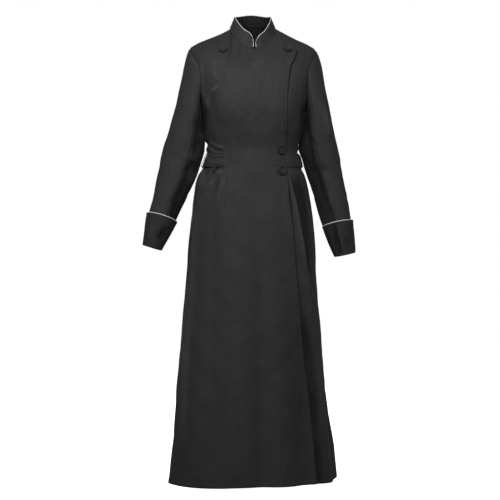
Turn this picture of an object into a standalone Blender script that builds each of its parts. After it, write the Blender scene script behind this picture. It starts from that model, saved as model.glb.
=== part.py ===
"""A clergy dress in its worn, hollow form: two fronts that lap, a back, two-piece sleeves with turned cuffs,
a stand collar, piping, a waist band with its loops, and four buttons.

Metres, +Z up, and the front faces -Y. "Right" is the wearer's right, at -X. The origin is the middle of the neck, level
with the neck ends of the shoulder seams. The trunk is one surface of rings: an angle goes round it, 0 at the centre
front and 90 degrees at a side seam, and a height, taken at the side, goes up it. Each panel is a stretch of it.
"""

from collections import namedtuple
from math import cos, pi, radians, sin

import bpy
import numpy as np

CLOTH = 0.0016           # wall of one panel of coat cloth
STIFF_CLOTH = 0.0022     # wall of the collar, the cuffs and the band: two cloths and their interlining
SEAM_GAP = 0.0003        # between pieces that are sewn together
LAP = CLOTH + SEAM_GAP   # how far the right front lies above the left one

HEM = -1.400
BAND_BOTTOM, BAND_MIDDLE, BAND_TOP = -0.4305, -0.4095, -0.3885
ARMPIT = -0.245
SHOULDER_TIP = -0.063
LAP_CORNER = -0.0416     # side height of the ring that the lap's top corner lies on

Ring = namedtuple("Ring", "name side_z front_z back_z half_width front_depth back_depth squareness")
RINGS = (
    Ring("hem", HEM, -1.400, -1.402, 0.2520, 0.152, 0.205, 2.2),
    Ring("shin", -1.225, -1.225, -1.225, 0.2365, 0.151, 0.192, 2.2),
    Ring("knee", -1.000, -1.000, -1.000, 0.2215, 0.149, 0.176, 2.2),
    Ring("thigh", -0.800, -0.800, -0.800, 0.2045, 0.145, 0.161, 2.3),
    Ring("hip", -0.600, -0.600, -0.600, 0.1890, 0.137, 0.146, 2.4),
    Ring("high hip", -0.500, -0.500, -0.500, 0.1745, 0.127, 0.129, 2.4),
    Ring("under band", -0.450, -0.450, -0.450, 0.1590, 0.120, 0.115, 2.35),
    Ring("band", -0.4305, -0.4305, -0.4305, 0.1475, 0.115, 0.104, 2.3),
    Ring("waist", -0.385, -0.385, -0.385, 0.1405, 0.111, 0.097, 2.3),
    Ring("ribs", -0.320, -0.320, -0.320, 0.1510, 0.126, 0.104, 2.35),
    Ring("armpit", ARMPIT, -0.246, -0.245, 0.1630, 0.142, 0.113, 2.4),
    Ring("chest", -0.150, -0.166, -0.152, 0.1810, 0.131, 0.117, 2.45),
    Ring("shoulder tip", SHOULDER_TIP, -0.118, -0.078, 0.1945, 0.111, 0.097, 2.1),
    Ring("shoulder end", -0.0475, -0.1060, -0.0530, 0.1740, 0.1035, 0.0880, 2.05),
    Ring("mid shoulder", -0.0315, -0.094, -0.027, 0.1370, 0.0955, 0.078, 2.0),
    Ring("neck", 0.0, -0.0694, 0.017, 0.0700, 0.0780, 0.060, 2.0),
)
RING_SLANT = 1.2         # a ring's height falls with this power of its depth, so that it is round over the shoulder

# How far the lap's edge lies from the centre front, by side height, from the hem to the top corner.
LapPoint = namedtuple("LapPoint", "side_z reach")
LAP_EDGE = (
    LapPoint(HEM, 0.187), LapPoint(-1.225, 0.170), LapPoint(-0.925, 0.136), LapPoint(-0.631, 0.111),
    LapPoint(-0.508, 0.098), LapPoint(-0.385, 0.0935), LapPoint(-0.231, 0.0934), LapPoint(-0.150, 0.0990),
    LapPoint(-0.085, 0.106), LapPoint(SHOULDER_TIP, 0.1165), LapPoint(LAP_CORNER, 0.128),
)

# Soft folds of the trunk: angles in degrees, plus towards the wearer's left. A fold starts at top, has its whole depth
# at full, and keeps rest of it from fade down to the hem. A plus depth stands out.
Fold = namedtuple("Fold", "name angle_top angle_hem top full fade rest depth width")
FOLDS = (
    Fold("right front swing", -40, -50, -0.55, -1.38, -1.39, 1.0, 0.030, 24),
    Fold("centre hollow", 6, 8, -0.70, -1.38, -1.39, 1.0, -0.018, 13),
    Fold("left front hollow", 52, 57, -0.62, -1.36, -1.39, 1.0, -0.024, 15),
    Fold("left princess ridge", 42, 74, -0.435, -0.58, -1.38, 0.5, 0.009, 8),
    Fold("left princess valley", 62, 88, -0.435, -0.56, -1.38, 0.4, -0.009, 9),
    Fold("left back flare", 102, 109, -1.05, -1.39, -1.40, 1.0, 0.040, 13),
    Fold("right hip fullness", -88, -88, -0.405, -0.46, -0.60, 0.0, 0.0065, 20),
    Fold("left hip fullness", 88, 88, -0.405, -0.435, -0.48, 0.0, 0.0045, 20),
    Fold("right side ridge", -72, -86, -0.45, -1.30, -1.39, 1.0, 0.008, 12),
    Fold("right hip dent", -56, -60, -0.435, -0.475, -0.62, 0.0, -0.006, 9),
    Fold("right princess ridge", -42, -34, -0.44, -0.56, -1.38, 0.5, 0.004, 7),
    Fold("right back ridge", -128, -122, -0.50, -1.30, -1.39, 1.0, 0.016, 14),
    Fold("centre back hollow", 180, 176, -0.60, -1.35, -1.39, 1.0, -0.016, 14),
    Fold("left back ridge", 146, 148, -0.50, -1.30, -1.39, 1.0, 0.014, 13),
    Fold("right back hollow", -152, -150, -0.55, -1.35, -1.39, 1.0, -0.010, 11),
)
BUST_HEIGHT, BUST_ANGLE, BUST_FULLNESS = -0.262, 34, 0.008
BUST_SPREAD, BUST_RISE = 20, 0.070

# Rows of the panels' grids below the armpit, and between the shoulder tip and the neck.
ROW_HEIGHTS = (HEM, -1.385, -1.310, -1.225, -1.130, -1.030, -0.930, -0.830, -0.730, -0.650, -0.580, -0.520, -0.480,
               -0.450, BAND_BOTTOM, BAND_MIDDLE, BAND_TOP, -0.345, -0.305, -0.270)
TOP_ROWS = (-0.0550, LAP_CORNER, -0.028, -0.0135, 0.0)
ARMHOLE_STEPS = 10       # from armpit to shoulder tip, on the front and on the back alike
ARMHOLE_FRONT, ARMHOLE_BACK = 23.5, 20.5   # how far, in degrees, an armhole cuts into the front and the back
SIDE_COLUMNS, LAP_COLUMNS, BACK_COLUMNS = 6, 7, 18

# Arm: the rings of a sleeve below its cap. out and down place a ring's middle, forward is towards the front. The right
# sleeve is slacker towards the body by right_slack, the left one by left_slack.
ArmRing = namedtuple("ArmRing", "name out down forward half_width half_depth right_slack left_slack")
ARM_RINGS = (
    ArmRing("biceps", 0.2040, -0.318, 0.000, 0.0510, 0.0660, 0.011, 0.005),
    ArmRing("above elbow", 0.2085, -0.350, -0.001, 0.0545, 0.0635, 0.012, 0.010),
    ArmRing("elbow", 0.2150, -0.385, -0.001, 0.0570, 0.0610, 0.012, 0.002),
    ArmRing("below elbow", 0.2250, -0.427, 0.001, 0.0555, 0.0575, 0.011, 0.000),
    ArmRing("forearm", 0.2360, -0.468, 0.004, 0.0530, 0.0540, 0.008, 0.000),
    ArmRing("mid forearm", 0.2475, -0.511, 0.009, 0.0495, 0.0500, 0.005, 0.002),
    ArmRing("low forearm", 0.2590, -0.553, 0.015, 0.0460, 0.0465, 0.001, 0.004),
    ArmRing("above cuff", 0.2685, -0.588, 0.020, 0.0440, 0.0445, 0.000, 0.003),
    ArmRing("in cuff", 0.2815, -0.634, 0.028, 0.0375, 0.0390, 0.000, 0.000),
    ArmRing("sleeve end", 0.2931, -0.676, 0.0344, 0.0316, 0.0335, 0.000, 0.000),
)
CUFF_RINGS = (
    ArmRing("cuff top", 0.2715, -0.5975, 0.0215, 0.0495, 0.0505, 0.000, 0.000),
    ArmRing("cuff middle", 0.2850, -0.646, 0.0300, 0.0405, 0.0420, 0.000, 0.000),
    ArmRing("cuff bottom", 0.2968, -0.6895, 0.0365, 0.0315, 0.0335, 0.000, 0.000),
)
ARM_SWING = {"right": 1.5, "left": -1.5}   # degrees that each arm hangs out from the average, about the armpit
ARM_DROP = {"right": 0.007, "left": -0.006}
SIDE_ROOM = 0.0022       # between the trunk's side and a sleeve that hangs against it
CAP_STEPS = 5
CAP_LEAVES = {"right": 0.016, "left": 0.024}   # how far a cap runs on from the armhole before it turns down
CAP_TURNS = 0.080
FRONT_SEAM, BACK_SEAM = 6, 14              # columns of a sleeve where its two pieces meet, 0 at the shoulder tip

COLLAR_TOP_HALF_WIDTH, COLLAR_TOP_FRONT, COLLAR_TOP_BACK = 0.0565, 0.0630, 0.0555
COLLAR_TOP_SIDE_Z, COLLAR_TOP_FRONT_Z, COLLAR_TOP_BACK_Z = 0.0385, -0.0215, 0.0490
COLLAR_FRONT_POWER, COLLAR_BACK_POWER = 1.6, 3.0     # how its top edge bends from the sides
COLLAR_END = 3.9         # degrees from the centre front to each end of the collar
COLLAR_CORNER, COLLAR_CORNER_DROP = 19.0, 0.0150
COLLAR_ROWS = 3
COLLAR_RISE = 0.0006     # from the top of the neck seam to the collar
PIPING_RADIUS = 0.0017
PIPING_SIDES = 6

BAND_START, BAND_END = -0.088, 0.0975      # how far from the centre front the band's two ends lie
BAND_SIDE_LIFTS = {BAND_BOTTOM: 0.0036, BAND_MIDDLE: 0.0055, BAND_TOP: 0.0004}   # how far it stands off the sides
LOOP_HALF_WIDTH, LOOP_MARGIN, LOOP_CLOTH, LOOP_CLEARANCE = 0.0055, 0.0050, 0.0014, 0.0007

BUTTON_SIDES = 18
ButtonRing = namedtuple("ButtonRing", "radius height")
BUTTON_PROFILE = (
    ButtonRing(0.0032, 0.0000), ButtonRing(0.0034, 0.0016), ButtonRing(0.0118, 0.0019), ButtonRing(0.0134, 0.0032),
    ButtonRing(0.0126, 0.0048), ButtonRing(0.0106, 0.0049), ButtonRing(0.0084, 0.0035), ButtonRing(0.0040, 0.0033),
)
BUTTON_STAND = 0.0005
SEAT_TURN, SEAT_CLIMB = 0.07, 0.008        # how far round and up a thing's seat on the cloth is taken
ButtonPlace = namedtuple("ButtonPlace", "name reach side_z")
BUTTONS = (
    ButtonPlace("button_top_right", -0.0965, -0.0345),
    ButtonPlace("button_top_left", 0.1015, -0.0330),
    ButtonPlace("button_waist", 0.0775, -0.382),
    ButtonPlace("button_hip", 0.0805, -0.4465),
)

Finish = namedtuple("Finish", "colour roughness")
FINISHES = {
    "coat_cloth": Finish((0.030, 0.030, 0.031), 0.86),
    "cuff_cloth": Finish((0.022, 0.022, 0.023), 0.88),
    "piping": Finish((0.80, 0.80, 0.78), 0.75),
    "button": Finish((0.035, 0.035, 0.036), 0.38),
}


def clear_scene():
    for old in list(bpy.data.objects):
        bpy.data.objects.remove(old, do_unlink=True)


def track(places, values):
    """A smooth curve through values at rising places, which never overshoots between two of them."""
    x = np.array(places, float)
    y = np.array(values, float)
    run = np.diff(x)
    rise = np.diff(y) / run
    slope = np.zeros_like(y)
    slope[0], slope[-1] = rise[0], rise[-1]
    same_way = rise[:-1] * rise[1:] > 0
    weight_before = 2 * run[1:] + run[:-1]
    weight_after = run[1:] + 2 * run[:-1]
    safe_before = np.where(same_way, rise[:-1], 1.0)
    safe_after = np.where(same_way, rise[1:], 1.0)
    mean = (weight_before + weight_after) / (weight_before / safe_before + weight_after / safe_after)
    slope[1:-1] = np.where(same_way, mean, 0.0)

    def value_at(place):
        place = np.clip(place, x[0], x[-1])
        part = np.clip(np.searchsorted(x, place, side="right") - 1, 0, len(run) - 1)
        share = (place - x[part]) / run[part]
        ease = share * share * (3 - 2 * share)
        leave = share * (1 - share) ** 2 * run[part]
        arrive = share * share * (share - 1) * run[part]
        return y[part] * (1 - ease) + y[part + 1] * ease + slope[part] * leave + slope[part + 1] * arrive

    return value_at


RING_TRACKS = {
    column: track([ring.side_z for ring in RINGS], [getattr(ring, column) for ring in RINGS])
    for column in ("front_z", "back_z", "half_width", "front_depth", "back_depth", "squareness")
}
LAP_TRACK = track([point.side_z for point in LAP_EDGE], [point.reach for point in LAP_EDGE])


def smooth_step(value):
    value = np.clip(value, 0, 1)
    return value * value * (3 - 2 * value)


def unit(vectors):
    return vectors / np.linalg.norm(vectors, axis=-1, keepdims=True)


def angle_apart(angle, other):
    """The signed angle between two directions, in degrees, from -180 to 180."""
    return (np.degrees(angle) - other + 180) % 360 - 180


def fold_depth(angle, height):
    """How far the folds and the bust push the trunk's cloth out at an angle and a side height."""
    total = np.zeros(np.broadcast(angle, height).shape)
    for fold in FOLDS:
        down = np.clip((fold.top - height) / (fold.top - HEM), 0, 1)
        middle = fold.angle_top + (fold.angle_hem - fold.angle_top) * down ** 0.7
        grown = smooth_step((fold.top - height) / (fold.top - fold.full))
        past = smooth_step((fold.full - height) / (fold.full - fold.fade))
        size = fold.depth * grown * (1 + (fold.rest - 1) * past)
        total = total + size * np.exp(-(angle_apart(angle, middle) / fold.width) ** 2)
    for side in (-1, 1):
        across = angle_apart(angle, side * BUST_ANGLE) / BUST_SPREAD
        up = (height - BUST_HEIGHT) / BUST_RISE
        total = total + BUST_FULLNESS * np.exp(-across ** 2 - up ** 2)
    return total


def trunk_skin(angle, height):
    """Points of the trunk's surface. Angle is in radians, height is that of the ring at the side."""
    angle, height = np.broadcast_arrays(np.asarray(angle, float), np.asarray(height, float))
    ring = {column: value_at(height) for column, value_at in RING_TRACKS.items()}
    in_front = np.cos(angle) >= 0
    depth = np.where(in_front, ring["front_depth"], ring["back_depth"])
    far_z = np.where(in_front, ring["front_z"], ring["back_z"])
    power = ring["squareness"]
    across = np.abs(np.sin(angle)) / ring["half_width"]
    along = np.abs(np.cos(angle)) / depth
    plain = (across ** power + along ** power) ** (-1 / power)
    radius = plain + fold_depth(angle, height)
    slant = np.clip(plain * np.abs(np.cos(angle)) / depth, 0, 1) ** RING_SLANT
    z = height + (far_z - height) * slant
    return np.stack([radius * np.sin(angle), -radius * np.cos(angle), z], axis=-1)


def trunk_normal(angle, height):
    turn, climb = 0.004, 0.005
    low = np.maximum(np.asarray(height, float) - climb, HEM)
    high = np.minimum(np.asarray(height, float) + climb, 0.0)
    round_ = trunk_skin(angle + turn, height) - trunk_skin(angle - turn, height)
    up = trunk_skin(angle, high) - trunk_skin(angle, low)
    return unit(np.cross(round_, up))


def trunk(angle, height, lift=0.0):
    """Points of the trunk's surface, moved out by lift."""
    lift = np.asarray(lift, float)[..., None]
    return trunk_skin(angle, height) + trunk_normal(angle, height) * lift


def angle_of_reach(reach, height):
    """The angle at which the front lies this far from the centre, by halving."""
    low = np.zeros(np.broadcast(reach, height).shape)
    high = np.full(low.shape, pi / 2)
    for _ in range(40):
        middle = (low + high) / 2
        beyond = trunk_skin(middle, height)[..., 0] > np.abs(reach)
        high = np.where(beyond, middle, high)
        low = np.where(beyond, low, middle)
    return np.sign(reach) * (low + high) / 2


def panel_rows():
    """Side heights of a panel's rows, and the share of the armhole's cut that each has."""
    heights = list(ROW_HEIGHTS)
    cuts = [0.0] * len(heights)
    for step in range(ARMHOLE_STEPS + 1):
        turn = pi * step / ARMHOLE_STEPS
        heights.append(ARMPIT + (SHOULDER_TIP - ARMPIT) * (1 - cos(turn)) / 2)
        cuts.append(sin(turn))
    heights.extend(TOP_ROWS)
    cuts.extend([0.0] * len(TOP_ROWS))
    return np.array(heights), np.array(cuts)


def lap_angle(heights):
    """The angle of the lap's edge in each row. Above the corner it runs beside the shoulder seam."""
    corner = angle_of_reach(LAP_EDGE[-1].reach, LAP_CORNER)
    edge = angle_of_reach(LAP_TRACK(heights), np.minimum(heights, LAP_CORNER))
    return np.where(heights >= LAP_CORNER, corner, edge)


def pull_in(points, row, column, towards_row, towards_column):
    """Moves one edge point half a seam's gap towards its neighbour inside the panel."""
    way = unit(points[towards_row, towards_column] - points[row, column])
    points[row, column] += way * SEAM_GAP / 2


def seam_edges(points, sides):
    """Draws a grid's edges in, to leave the seams' gaps."""
    rows, columns = points.shape[:2]
    if "first" in sides:
        for row in range(rows):
            pull_in(points, row, 0, row, 1)
    if "last" in sides:
        for row in range(rows):
            pull_in(points, row, columns - 1, row, columns - 2)
    if "top" in sides:
        for column in range(columns):
            pull_in(points, rows - 1, column, rows - 2, column)


def front_grid(side):
    """Angles and heights of a front's rows and columns, from its side seam to its lap edge. side is -1 or 1."""
    heights, cuts = panel_rows()
    seam = pi / 2 - radians(ARMHOLE_FRONT) * cuts
    lap = lap_angle(heights)
    to_seam = np.linspace(1, 0, SIDE_COLUMNS + 1)[:-1]
    over = np.linspace(1, -1, 2 * LAP_COLUMNS + 1)
    outer = lap[:, None] + (seam - lap)[:, None] * to_seam[None, :]
    inner = lap[:, None] * over[None, :]
    angles = side * np.concatenate([outer, inner], axis=1)
    return angles, np.broadcast_to(heights[:, None], angles.shape)


def back_grid():
    heights, cuts = panel_rows()
    seam = pi / 2 + radians(ARMHOLE_BACK) * cuts
    share = np.linspace(0, 1, BACK_COLUMNS + 1)
    angles = seam[:, None] + (2 * pi - 2 * seam)[:, None] * share[None, :]
    return angles, np.broadcast_to(heights[:, None], angles.shape)


def on_cloth(angle, height, lift=0.0):
    """A point on the panels' own flat facets, and their normal there taken over a button's width."""
    heights, _ = panel_rows()
    front, back = front_grid(1)[0], back_grid()[0]

    def row_point(row, at):
        columns = np.unique(np.round(np.concatenate([front[row], -front[row], back[row], back[row] - 2 * pi]), 9))
        after = np.searchsorted(columns, at)
        before, beyond = columns[after - 1], columns[after]
        share = (at - before) / (beyond - before)
        return trunk_skin(before, heights[row]) * (1 - share) + trunk_skin(beyond, heights[row]) * share

    def point(at, up):
        above = int(np.clip(np.searchsorted(heights, up), 1, len(heights) - 1))
        share = (up - heights[above - 1]) / (heights[above] - heights[above - 1])
        return row_point(above - 1, at) * (1 - share) + row_point(above, at) * share

    round_ = point(angle + SEAT_TURN, height) - point(angle - SEAT_TURN, height)
    up = point(angle, min(height + SEAT_CLIMB, -0.001)) - point(angle, height - SEAT_CLIMB)
    normal = unit(np.cross(round_, up))
    return point(angle, height) + normal * lift, normal


def lap_lift(angles, heights):
    """The right front's lift: it lies on the left one between the two lap edges, and comes down beside them."""
    edge = lap_angle(heights[:, 0])[:, None]
    return np.where(angles >= -edge - 1e-6, LAP, 0.0)


def armhole_columns():
    return 2 * ARMHOLE_STEPS


def armhole_curve(side):
    """(angles, heights) round an armhole, from the shoulder tip down the front and up the back."""
    turn = 2 * pi * np.arange(armhole_columns()) / armhole_columns()
    heights = ARMPIT + (SHOULDER_TIP - ARMPIT) * (1 + np.cos(turn)) / 2
    cut = np.where(np.sin(turn) >= 0, ARMHOLE_FRONT, ARMHOLE_BACK)
    angles = side * (pi / 2 - np.radians(cut) * np.sin(turn))
    return angles, heights


def arm_points(rings, side_name, side, columns):
    """Points of the rings of one arm: each lies square to the arm's line."""
    slack = np.array([getattr(ring, f"{side_name}_slack") for ring in rings])
    middles = np.array([[ring.out, -ring.forward, ring.down] for ring in rings])
    middles[:, 0] -= slack / 2
    swing = radians(ARM_SWING[side_name])
    pivot = np.array([RING_TRACKS["half_width"](ARMPIT), 0.0, ARMPIT])
    turned = middles - pivot
    turned = np.stack([
        turned[:, 0] * cos(swing) - turned[:, 2] * sin(swing),
        turned[:, 1],
        turned[:, 2] * cos(swing) + turned[:, 0] * sin(swing),
    ], axis=1)
    share = np.clip((ARMPIT - middles[:, 2]) / 0.4, 0, 1)
    middles = turned + pivot
    middles[:, 2] += ARM_DROP[side_name] * share
    line = unit(np.gradient(middles, axis=0))
    front = np.array([0.0, -1.0, 0.0])
    outward = unit(np.cross(line, np.broadcast_to(front, line.shape)))
    outward *= np.sign(outward[:, :1])
    forward = unit(np.cross(outward, line))
    forward *= -np.sign(forward[:, 1:2])
    turn = 2 * pi * np.arange(columns) / columns
    wide = (np.array([ring.half_width for ring in rings]) + slack / 2)[:, None, None]
    deep = np.array([ring.half_depth for ring in rings])[:, None, None]
    points = (
        middles[:, None, :]
        + outward[:, None, :] * wide * np.cos(turn)[None, :, None]
        + forward[:, None, :] * deep * np.sin(turn)[None, :, None]
    )
    points[..., 0] *= side
    return points


def clear_of_trunk(points, side):
    """A sleeve's points below the armpit, those that would lie in the trunk moved out to hang against its side."""
    height = np.minimum(points[..., 2], ARMPIT)
    depth = np.where(points[..., 1] < 0, RING_TRACKS["front_depth"](height), RING_TRACKS["back_depth"](height))
    power = RING_TRACKS["squareness"](height)
    room = (1 - np.clip(np.abs(points[..., 1]) / depth, 0, 1) ** power) ** (1 / power)
    limit = RING_TRACKS["half_width"](height) * room + SIDE_ROOM * smooth_step((ARMPIT - points[..., 2]) / 0.02)
    moved = points.copy()
    moved[..., 0] = np.where(points[..., 2] < ARMPIT, side * np.maximum(side * points[..., 0], limit), points[..., 0])
    return moved


def sleeve_grid(side_name, side):
    """Outer points of a whole sleeve, rows from the armhole to the end, closed round."""
    columns = armhole_columns()
    angles, heights = armhole_curve(side)
    start = trunk_skin(angles, heights)
    arm = arm_points(ARM_RINGS, side_name, side, columns)
    turn = 2 * pi * np.arange(columns) / columns
    leave = unit(np.stack([
        side * (0.50 + 0.45 * np.cos(turn)),
        -0.22 * np.sin(turn),
        -(0.725 - 0.275 * np.cos(turn)),
    ], axis=1))
    arrive = unit(arm[1] - arm[0])
    reach = (0.3 + 0.7 * (1 + np.cos(turn)) / 2)[:, None]
    first = start + leave * CAP_LEAVES[side_name]
    second = arm[0] - arrive * CAP_TURNS * reach
    cap = []
    for step in range(CAP_STEPS):
        along = (step / CAP_STEPS) ** 1.15
        back = 1 - along
        cap.append(
            start * back ** 3 + 3 * first * back ** 2 * along + 3 * second * back * along ** 2 + arm[0] * along ** 3
        )
    below = clear_of_trunk(np.concatenate([np.array(cap[1:]), arm], axis=0), side)
    return np.concatenate([cap[:1], below], axis=0)


def grid_normals(points, closed):
    """Normals of a grid of points, pointing out of it when its columns go round and its rows go up or down."""
    if closed:
        round_ = np.roll(points, -1, axis=1) - np.roll(points, 1, axis=1)
    else:
        round_ = np.gradient(points, axis=1)
    along = np.gradient(points, axis=0)
    return unit(np.cross(round_, along))


def outward_normals(points, closed, middle):
    """The same, turned where need be so that they point away from a middle line, one point a row."""
    normals = grid_normals(points, closed)
    away = points - middle[:, None, :]
    if (normals * away).sum() < 0:
        normals = -normals
    return normals


def material(name):
    found = bpy.data.materials.get(name)
    if found:
        return found
    made = bpy.data.materials.new(name)
    made.use_nodes = True
    surface = made.node_tree.nodes["Principled BSDF"]
    surface.inputs["Base Color"].default_value = (*FINISHES[name].colour, 1.0)
    surface.inputs["Roughness"].default_value = FINISHES[name].roughness
    return made


def add_object(name, points, faces, finish):
    mesh = bpy.data.meshes.new(name)
    mesh.from_pydata([tuple(float(v) for v in point) for point in points], [], faces)
    mesh.materials.append(material(finish))
    mesh.update()
    mesh.shade_smooth()
    mesh.set_sharp_from_angle(angle=radians(50))
    made = bpy.data.objects.new(name, mesh)
    bpy.context.scene.collection.objects.link(made)
    return made


def add_wall(name, outer, inner, finish, closed=False, flip=False):
    """One closed body between two grids of points. flip cuts its squares along the other diagonal."""
    rows, columns = outer.shape[:2]
    points = np.concatenate([outer.reshape(-1, 3), inner.reshape(-1, 3)])
    inside = rows * columns
    faces = []
    spans = columns if closed else columns - 1

    def at(row, column):
        return row * columns + column % columns

    def add_edge(a, b):
        """An edge's face runs from its lower inner corner to its higher outer one, as that of the next piece does."""
        if points[a, 2] > points[b, 2]:
            faces.append((b + inside, b, a))
            faces.append((b + inside, a, a + inside))
        else:
            faces.append((a + inside, b, a))
            faces.append((a + inside, b + inside, b))

    for row in range(rows - 1):
        for column in range(spans):
            a, b = at(row, column), at(row, column + 1)
            c, d = at(row + 1, column + 1), at(row + 1, column)
            halves = ((a, b, d), (b, c, d)) if flip else ((a, b, c), (a, c, d))
            for half in halves:
                faces.append(half)
                faces.append(tuple(corner + inside for corner in reversed(half)))
    for column in range(spans):
        add_edge(at(0, column), at(0, column + 1))
        add_edge(at(rows - 1, column + 1), at(rows - 1, column))
    if not closed:
        for row in range(rows - 1):
            add_edge(at(row + 1, 0), at(row, 0))
            add_edge(at(row, columns - 1), at(row + 1, columns - 1))
    if signed_volume(points, faces) < 0:
        faces = [tuple(reversed(face)) for face in faces]
    return add_object(name, points, faces, finish)


def signed_volume(points, faces):
    corners = points[np.array(faces)]
    return np.einsum("ij,ij->i", corners[:, 0], np.cross(corners[:, 1], corners[:, 2])).sum()


def add_front(name, side, lapped):
    angles, heights = front_grid(side)
    lift = lap_lift(angles, heights) if lapped else np.zeros(angles.shape)
    normals = trunk_normal(angles, heights)
    normals[:, 0] = seam_normals(normals[:, 0], heights[:, 0], side, "front")
    outer = trunk_skin(angles, heights) + normals * lift[..., None]
    seam_edges(outer, ("first", "top"))
    inner = outer - normals * CLOTH
    add_wall(name, outer, inner, "coat_cloth", flip=side > 0)


def add_back():
    angles, heights = back_grid()
    normals = trunk_normal(angles, heights)
    normals[:, 0] = seam_normals(normals[:, 0], heights[:, 0], 1, "back")
    normals[:, -1] = seam_normals(normals[:, -1], heights[:, 0], -1, "back")
    outer = trunk_skin(angles, heights)
    seam_edges(outer, ("first", "last", "top"))
    add_wall("back", outer, outer - normals * CLOTH, "coat_cloth")


SLEEVES = {}


def sleeve_outside(side_name, side):
    """A sleeve's outer points and normals, and the panels' normals round its armhole.

    Over the shoulder one normal halves the turn between trunk and sleeve. Under the arm the cloth folds back on
    itself, so there each of the two keeps more of its own.
    """
    if side_name not in SLEEVES:
        points = sleeve_grid(side_name, side)
        normals = outward_normals(points, True, points.mean(axis=1))
        angles, heights = armhole_curve(side)
        own = np.cross(
            np.roll(points[0], -1, axis=0) - np.roll(points[0], 1, axis=0), points[1] - points[0]
        )
        own = unit(own)
        own *= np.sign((own * normals[1]).sum(axis=1, keepdims=True))
        panel = trunk_normal(angles, heights)
        folded = np.clip(-(own * panel).sum(axis=1, keepdims=True), 0, 1)
        normals[0] = unit(own * (1 + 5 * folded) + panel)
        panel_side = unit(own + panel * (1 + 5 * folded))
        points[0] += panel * folded * 1.5 * SEAM_GAP
        SLEEVES[side_name] = (points, normals, panel_side)
    return SLEEVES[side_name]


def seam_normals(normals, heights, side, panel):
    """A panel's side column takes the normals worked out with the sleeve where it runs round the armhole."""
    side_name = "left" if side > 0 else "right"
    _, _, armhole = sleeve_outside(side_name, side)
    start = len(ROW_HEIGHTS)
    result = normals.copy()
    for step in range(ARMHOLE_STEPS + 1):
        column = ARMHOLE_STEPS - step if panel == "front" else (ARMHOLE_STEPS + step) % armhole_columns()
        result[start + step] = armhole[column]
    return result


def add_sleeve(side_name, side):
    points, normals, _ = sleeve_outside(side_name, side)
    columns = points.shape[1]
    pieces = {
        "top": np.arange(BACK_SEAM - columns, FRONT_SEAM + 1) % columns,
        "under": np.arange(FRONT_SEAM, BACK_SEAM + 1),
    }
    for piece, chosen in pieces.items():
        outer = points[:, chosen].copy()
        chosen_normals = normals[:, chosen]
        seam_edges(outer, ("first", "last"))
        outer[0] += unit(outer[1] - outer[0]) * SEAM_GAP
        add_wall(f"sleeve_{piece}_{side_name}", outer, outer - chosen_normals * CLOTH, "coat_cloth")


def add_tube(name, path, radius, finish, closed=False):
    """A round cord along a path, its section square to it."""
    count = len(path)
    if closed:
        line = unit(np.roll(path, -1, axis=0) - np.roll(path, 1, axis=0))
    else:
        line = unit(np.gradient(path, axis=0))
    middle = path.mean(axis=0)
    side = path - middle
    side = unit(side - line * (side * line).sum(axis=1, keepdims=True))
    up = np.cross(line, side)
    turn = 2 * pi * np.arange(PIPING_SIDES) / PIPING_SIDES
    rings = (
        path[:, None, :]
        + radius * side[:, None, :] * np.cos(turn)[None, :, None]
        + radius * up[:, None, :] * np.sin(turn)[None, :, None]
    )
    points = rings.reshape(-1, 3)
    faces = []
    for ring in range(count if closed else count - 1):
        for corner in range(PIPING_SIDES):
            a = ring * PIPING_SIDES + corner
            b = ring * PIPING_SIDES + (corner + 1) % PIPING_SIDES
            c = ((ring + 1) % count) * PIPING_SIDES + (corner + 1) % PIPING_SIDES
            d = ((ring + 1) % count) * PIPING_SIDES + corner
            faces.append((a, b, c))
            faces.append((a, c, d))
    if not closed:
        faces.append(tuple(reversed(range(PIPING_SIDES))))
        last = (count - 1) * PIPING_SIDES
        faces.append(tuple(range(last, last + PIPING_SIDES)))
    if signed_volume_of_any(points, faces) < 0:
        faces = [tuple(reversed(face)) for face in faces]
    add_object(name, points, faces, finish)


def signed_volume_of_any(points, faces):
    """The volume's sign for faces with any number of corners."""
    triangles = [(face[0], face[i], face[i + 1]) for face in faces for i in range(1, len(face) - 1)]
    return signed_volume(points, triangles)


def add_cuff(side_name, side):
    """A turned cuff and the piping on its top edge."""
    columns = armhole_columns()
    outer = arm_points(CUFF_RINGS, side_name, side, columns)
    middle = outer.mean(axis=1)
    normals = outward_normals(outer, True, middle)
    inner = outer - normals * STIFF_CLOTH
    add_wall(f"cuff_{side_name}", outer, inner, "cuff_cloth", closed=True)
    rim = (outer[0] + inner[0]) / 2
    away = unit(outer[0] - outer[1])
    path = rim + away * (PIPING_RADIUS + SEAM_GAP)
    add_tube(f"cuff_piping_{side_name}", path, PIPING_RADIUS, "piping", closed=True)


def collar_angles():
    """The panels' own columns at the neck, so that the collar meets them all round, with its two ends added."""
    front, _ = front_grid(1)
    front = front[-1]
    front = front[(front > radians(COLLAR_END) + 0.05) & (front < pi / 2 - 1e-6)]
    back, _ = back_grid()
    end = radians(COLLAR_END)
    return np.concatenate([[end], front[::-1], back[-1], 2 * pi - front, [2 * pi - end]])


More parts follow.
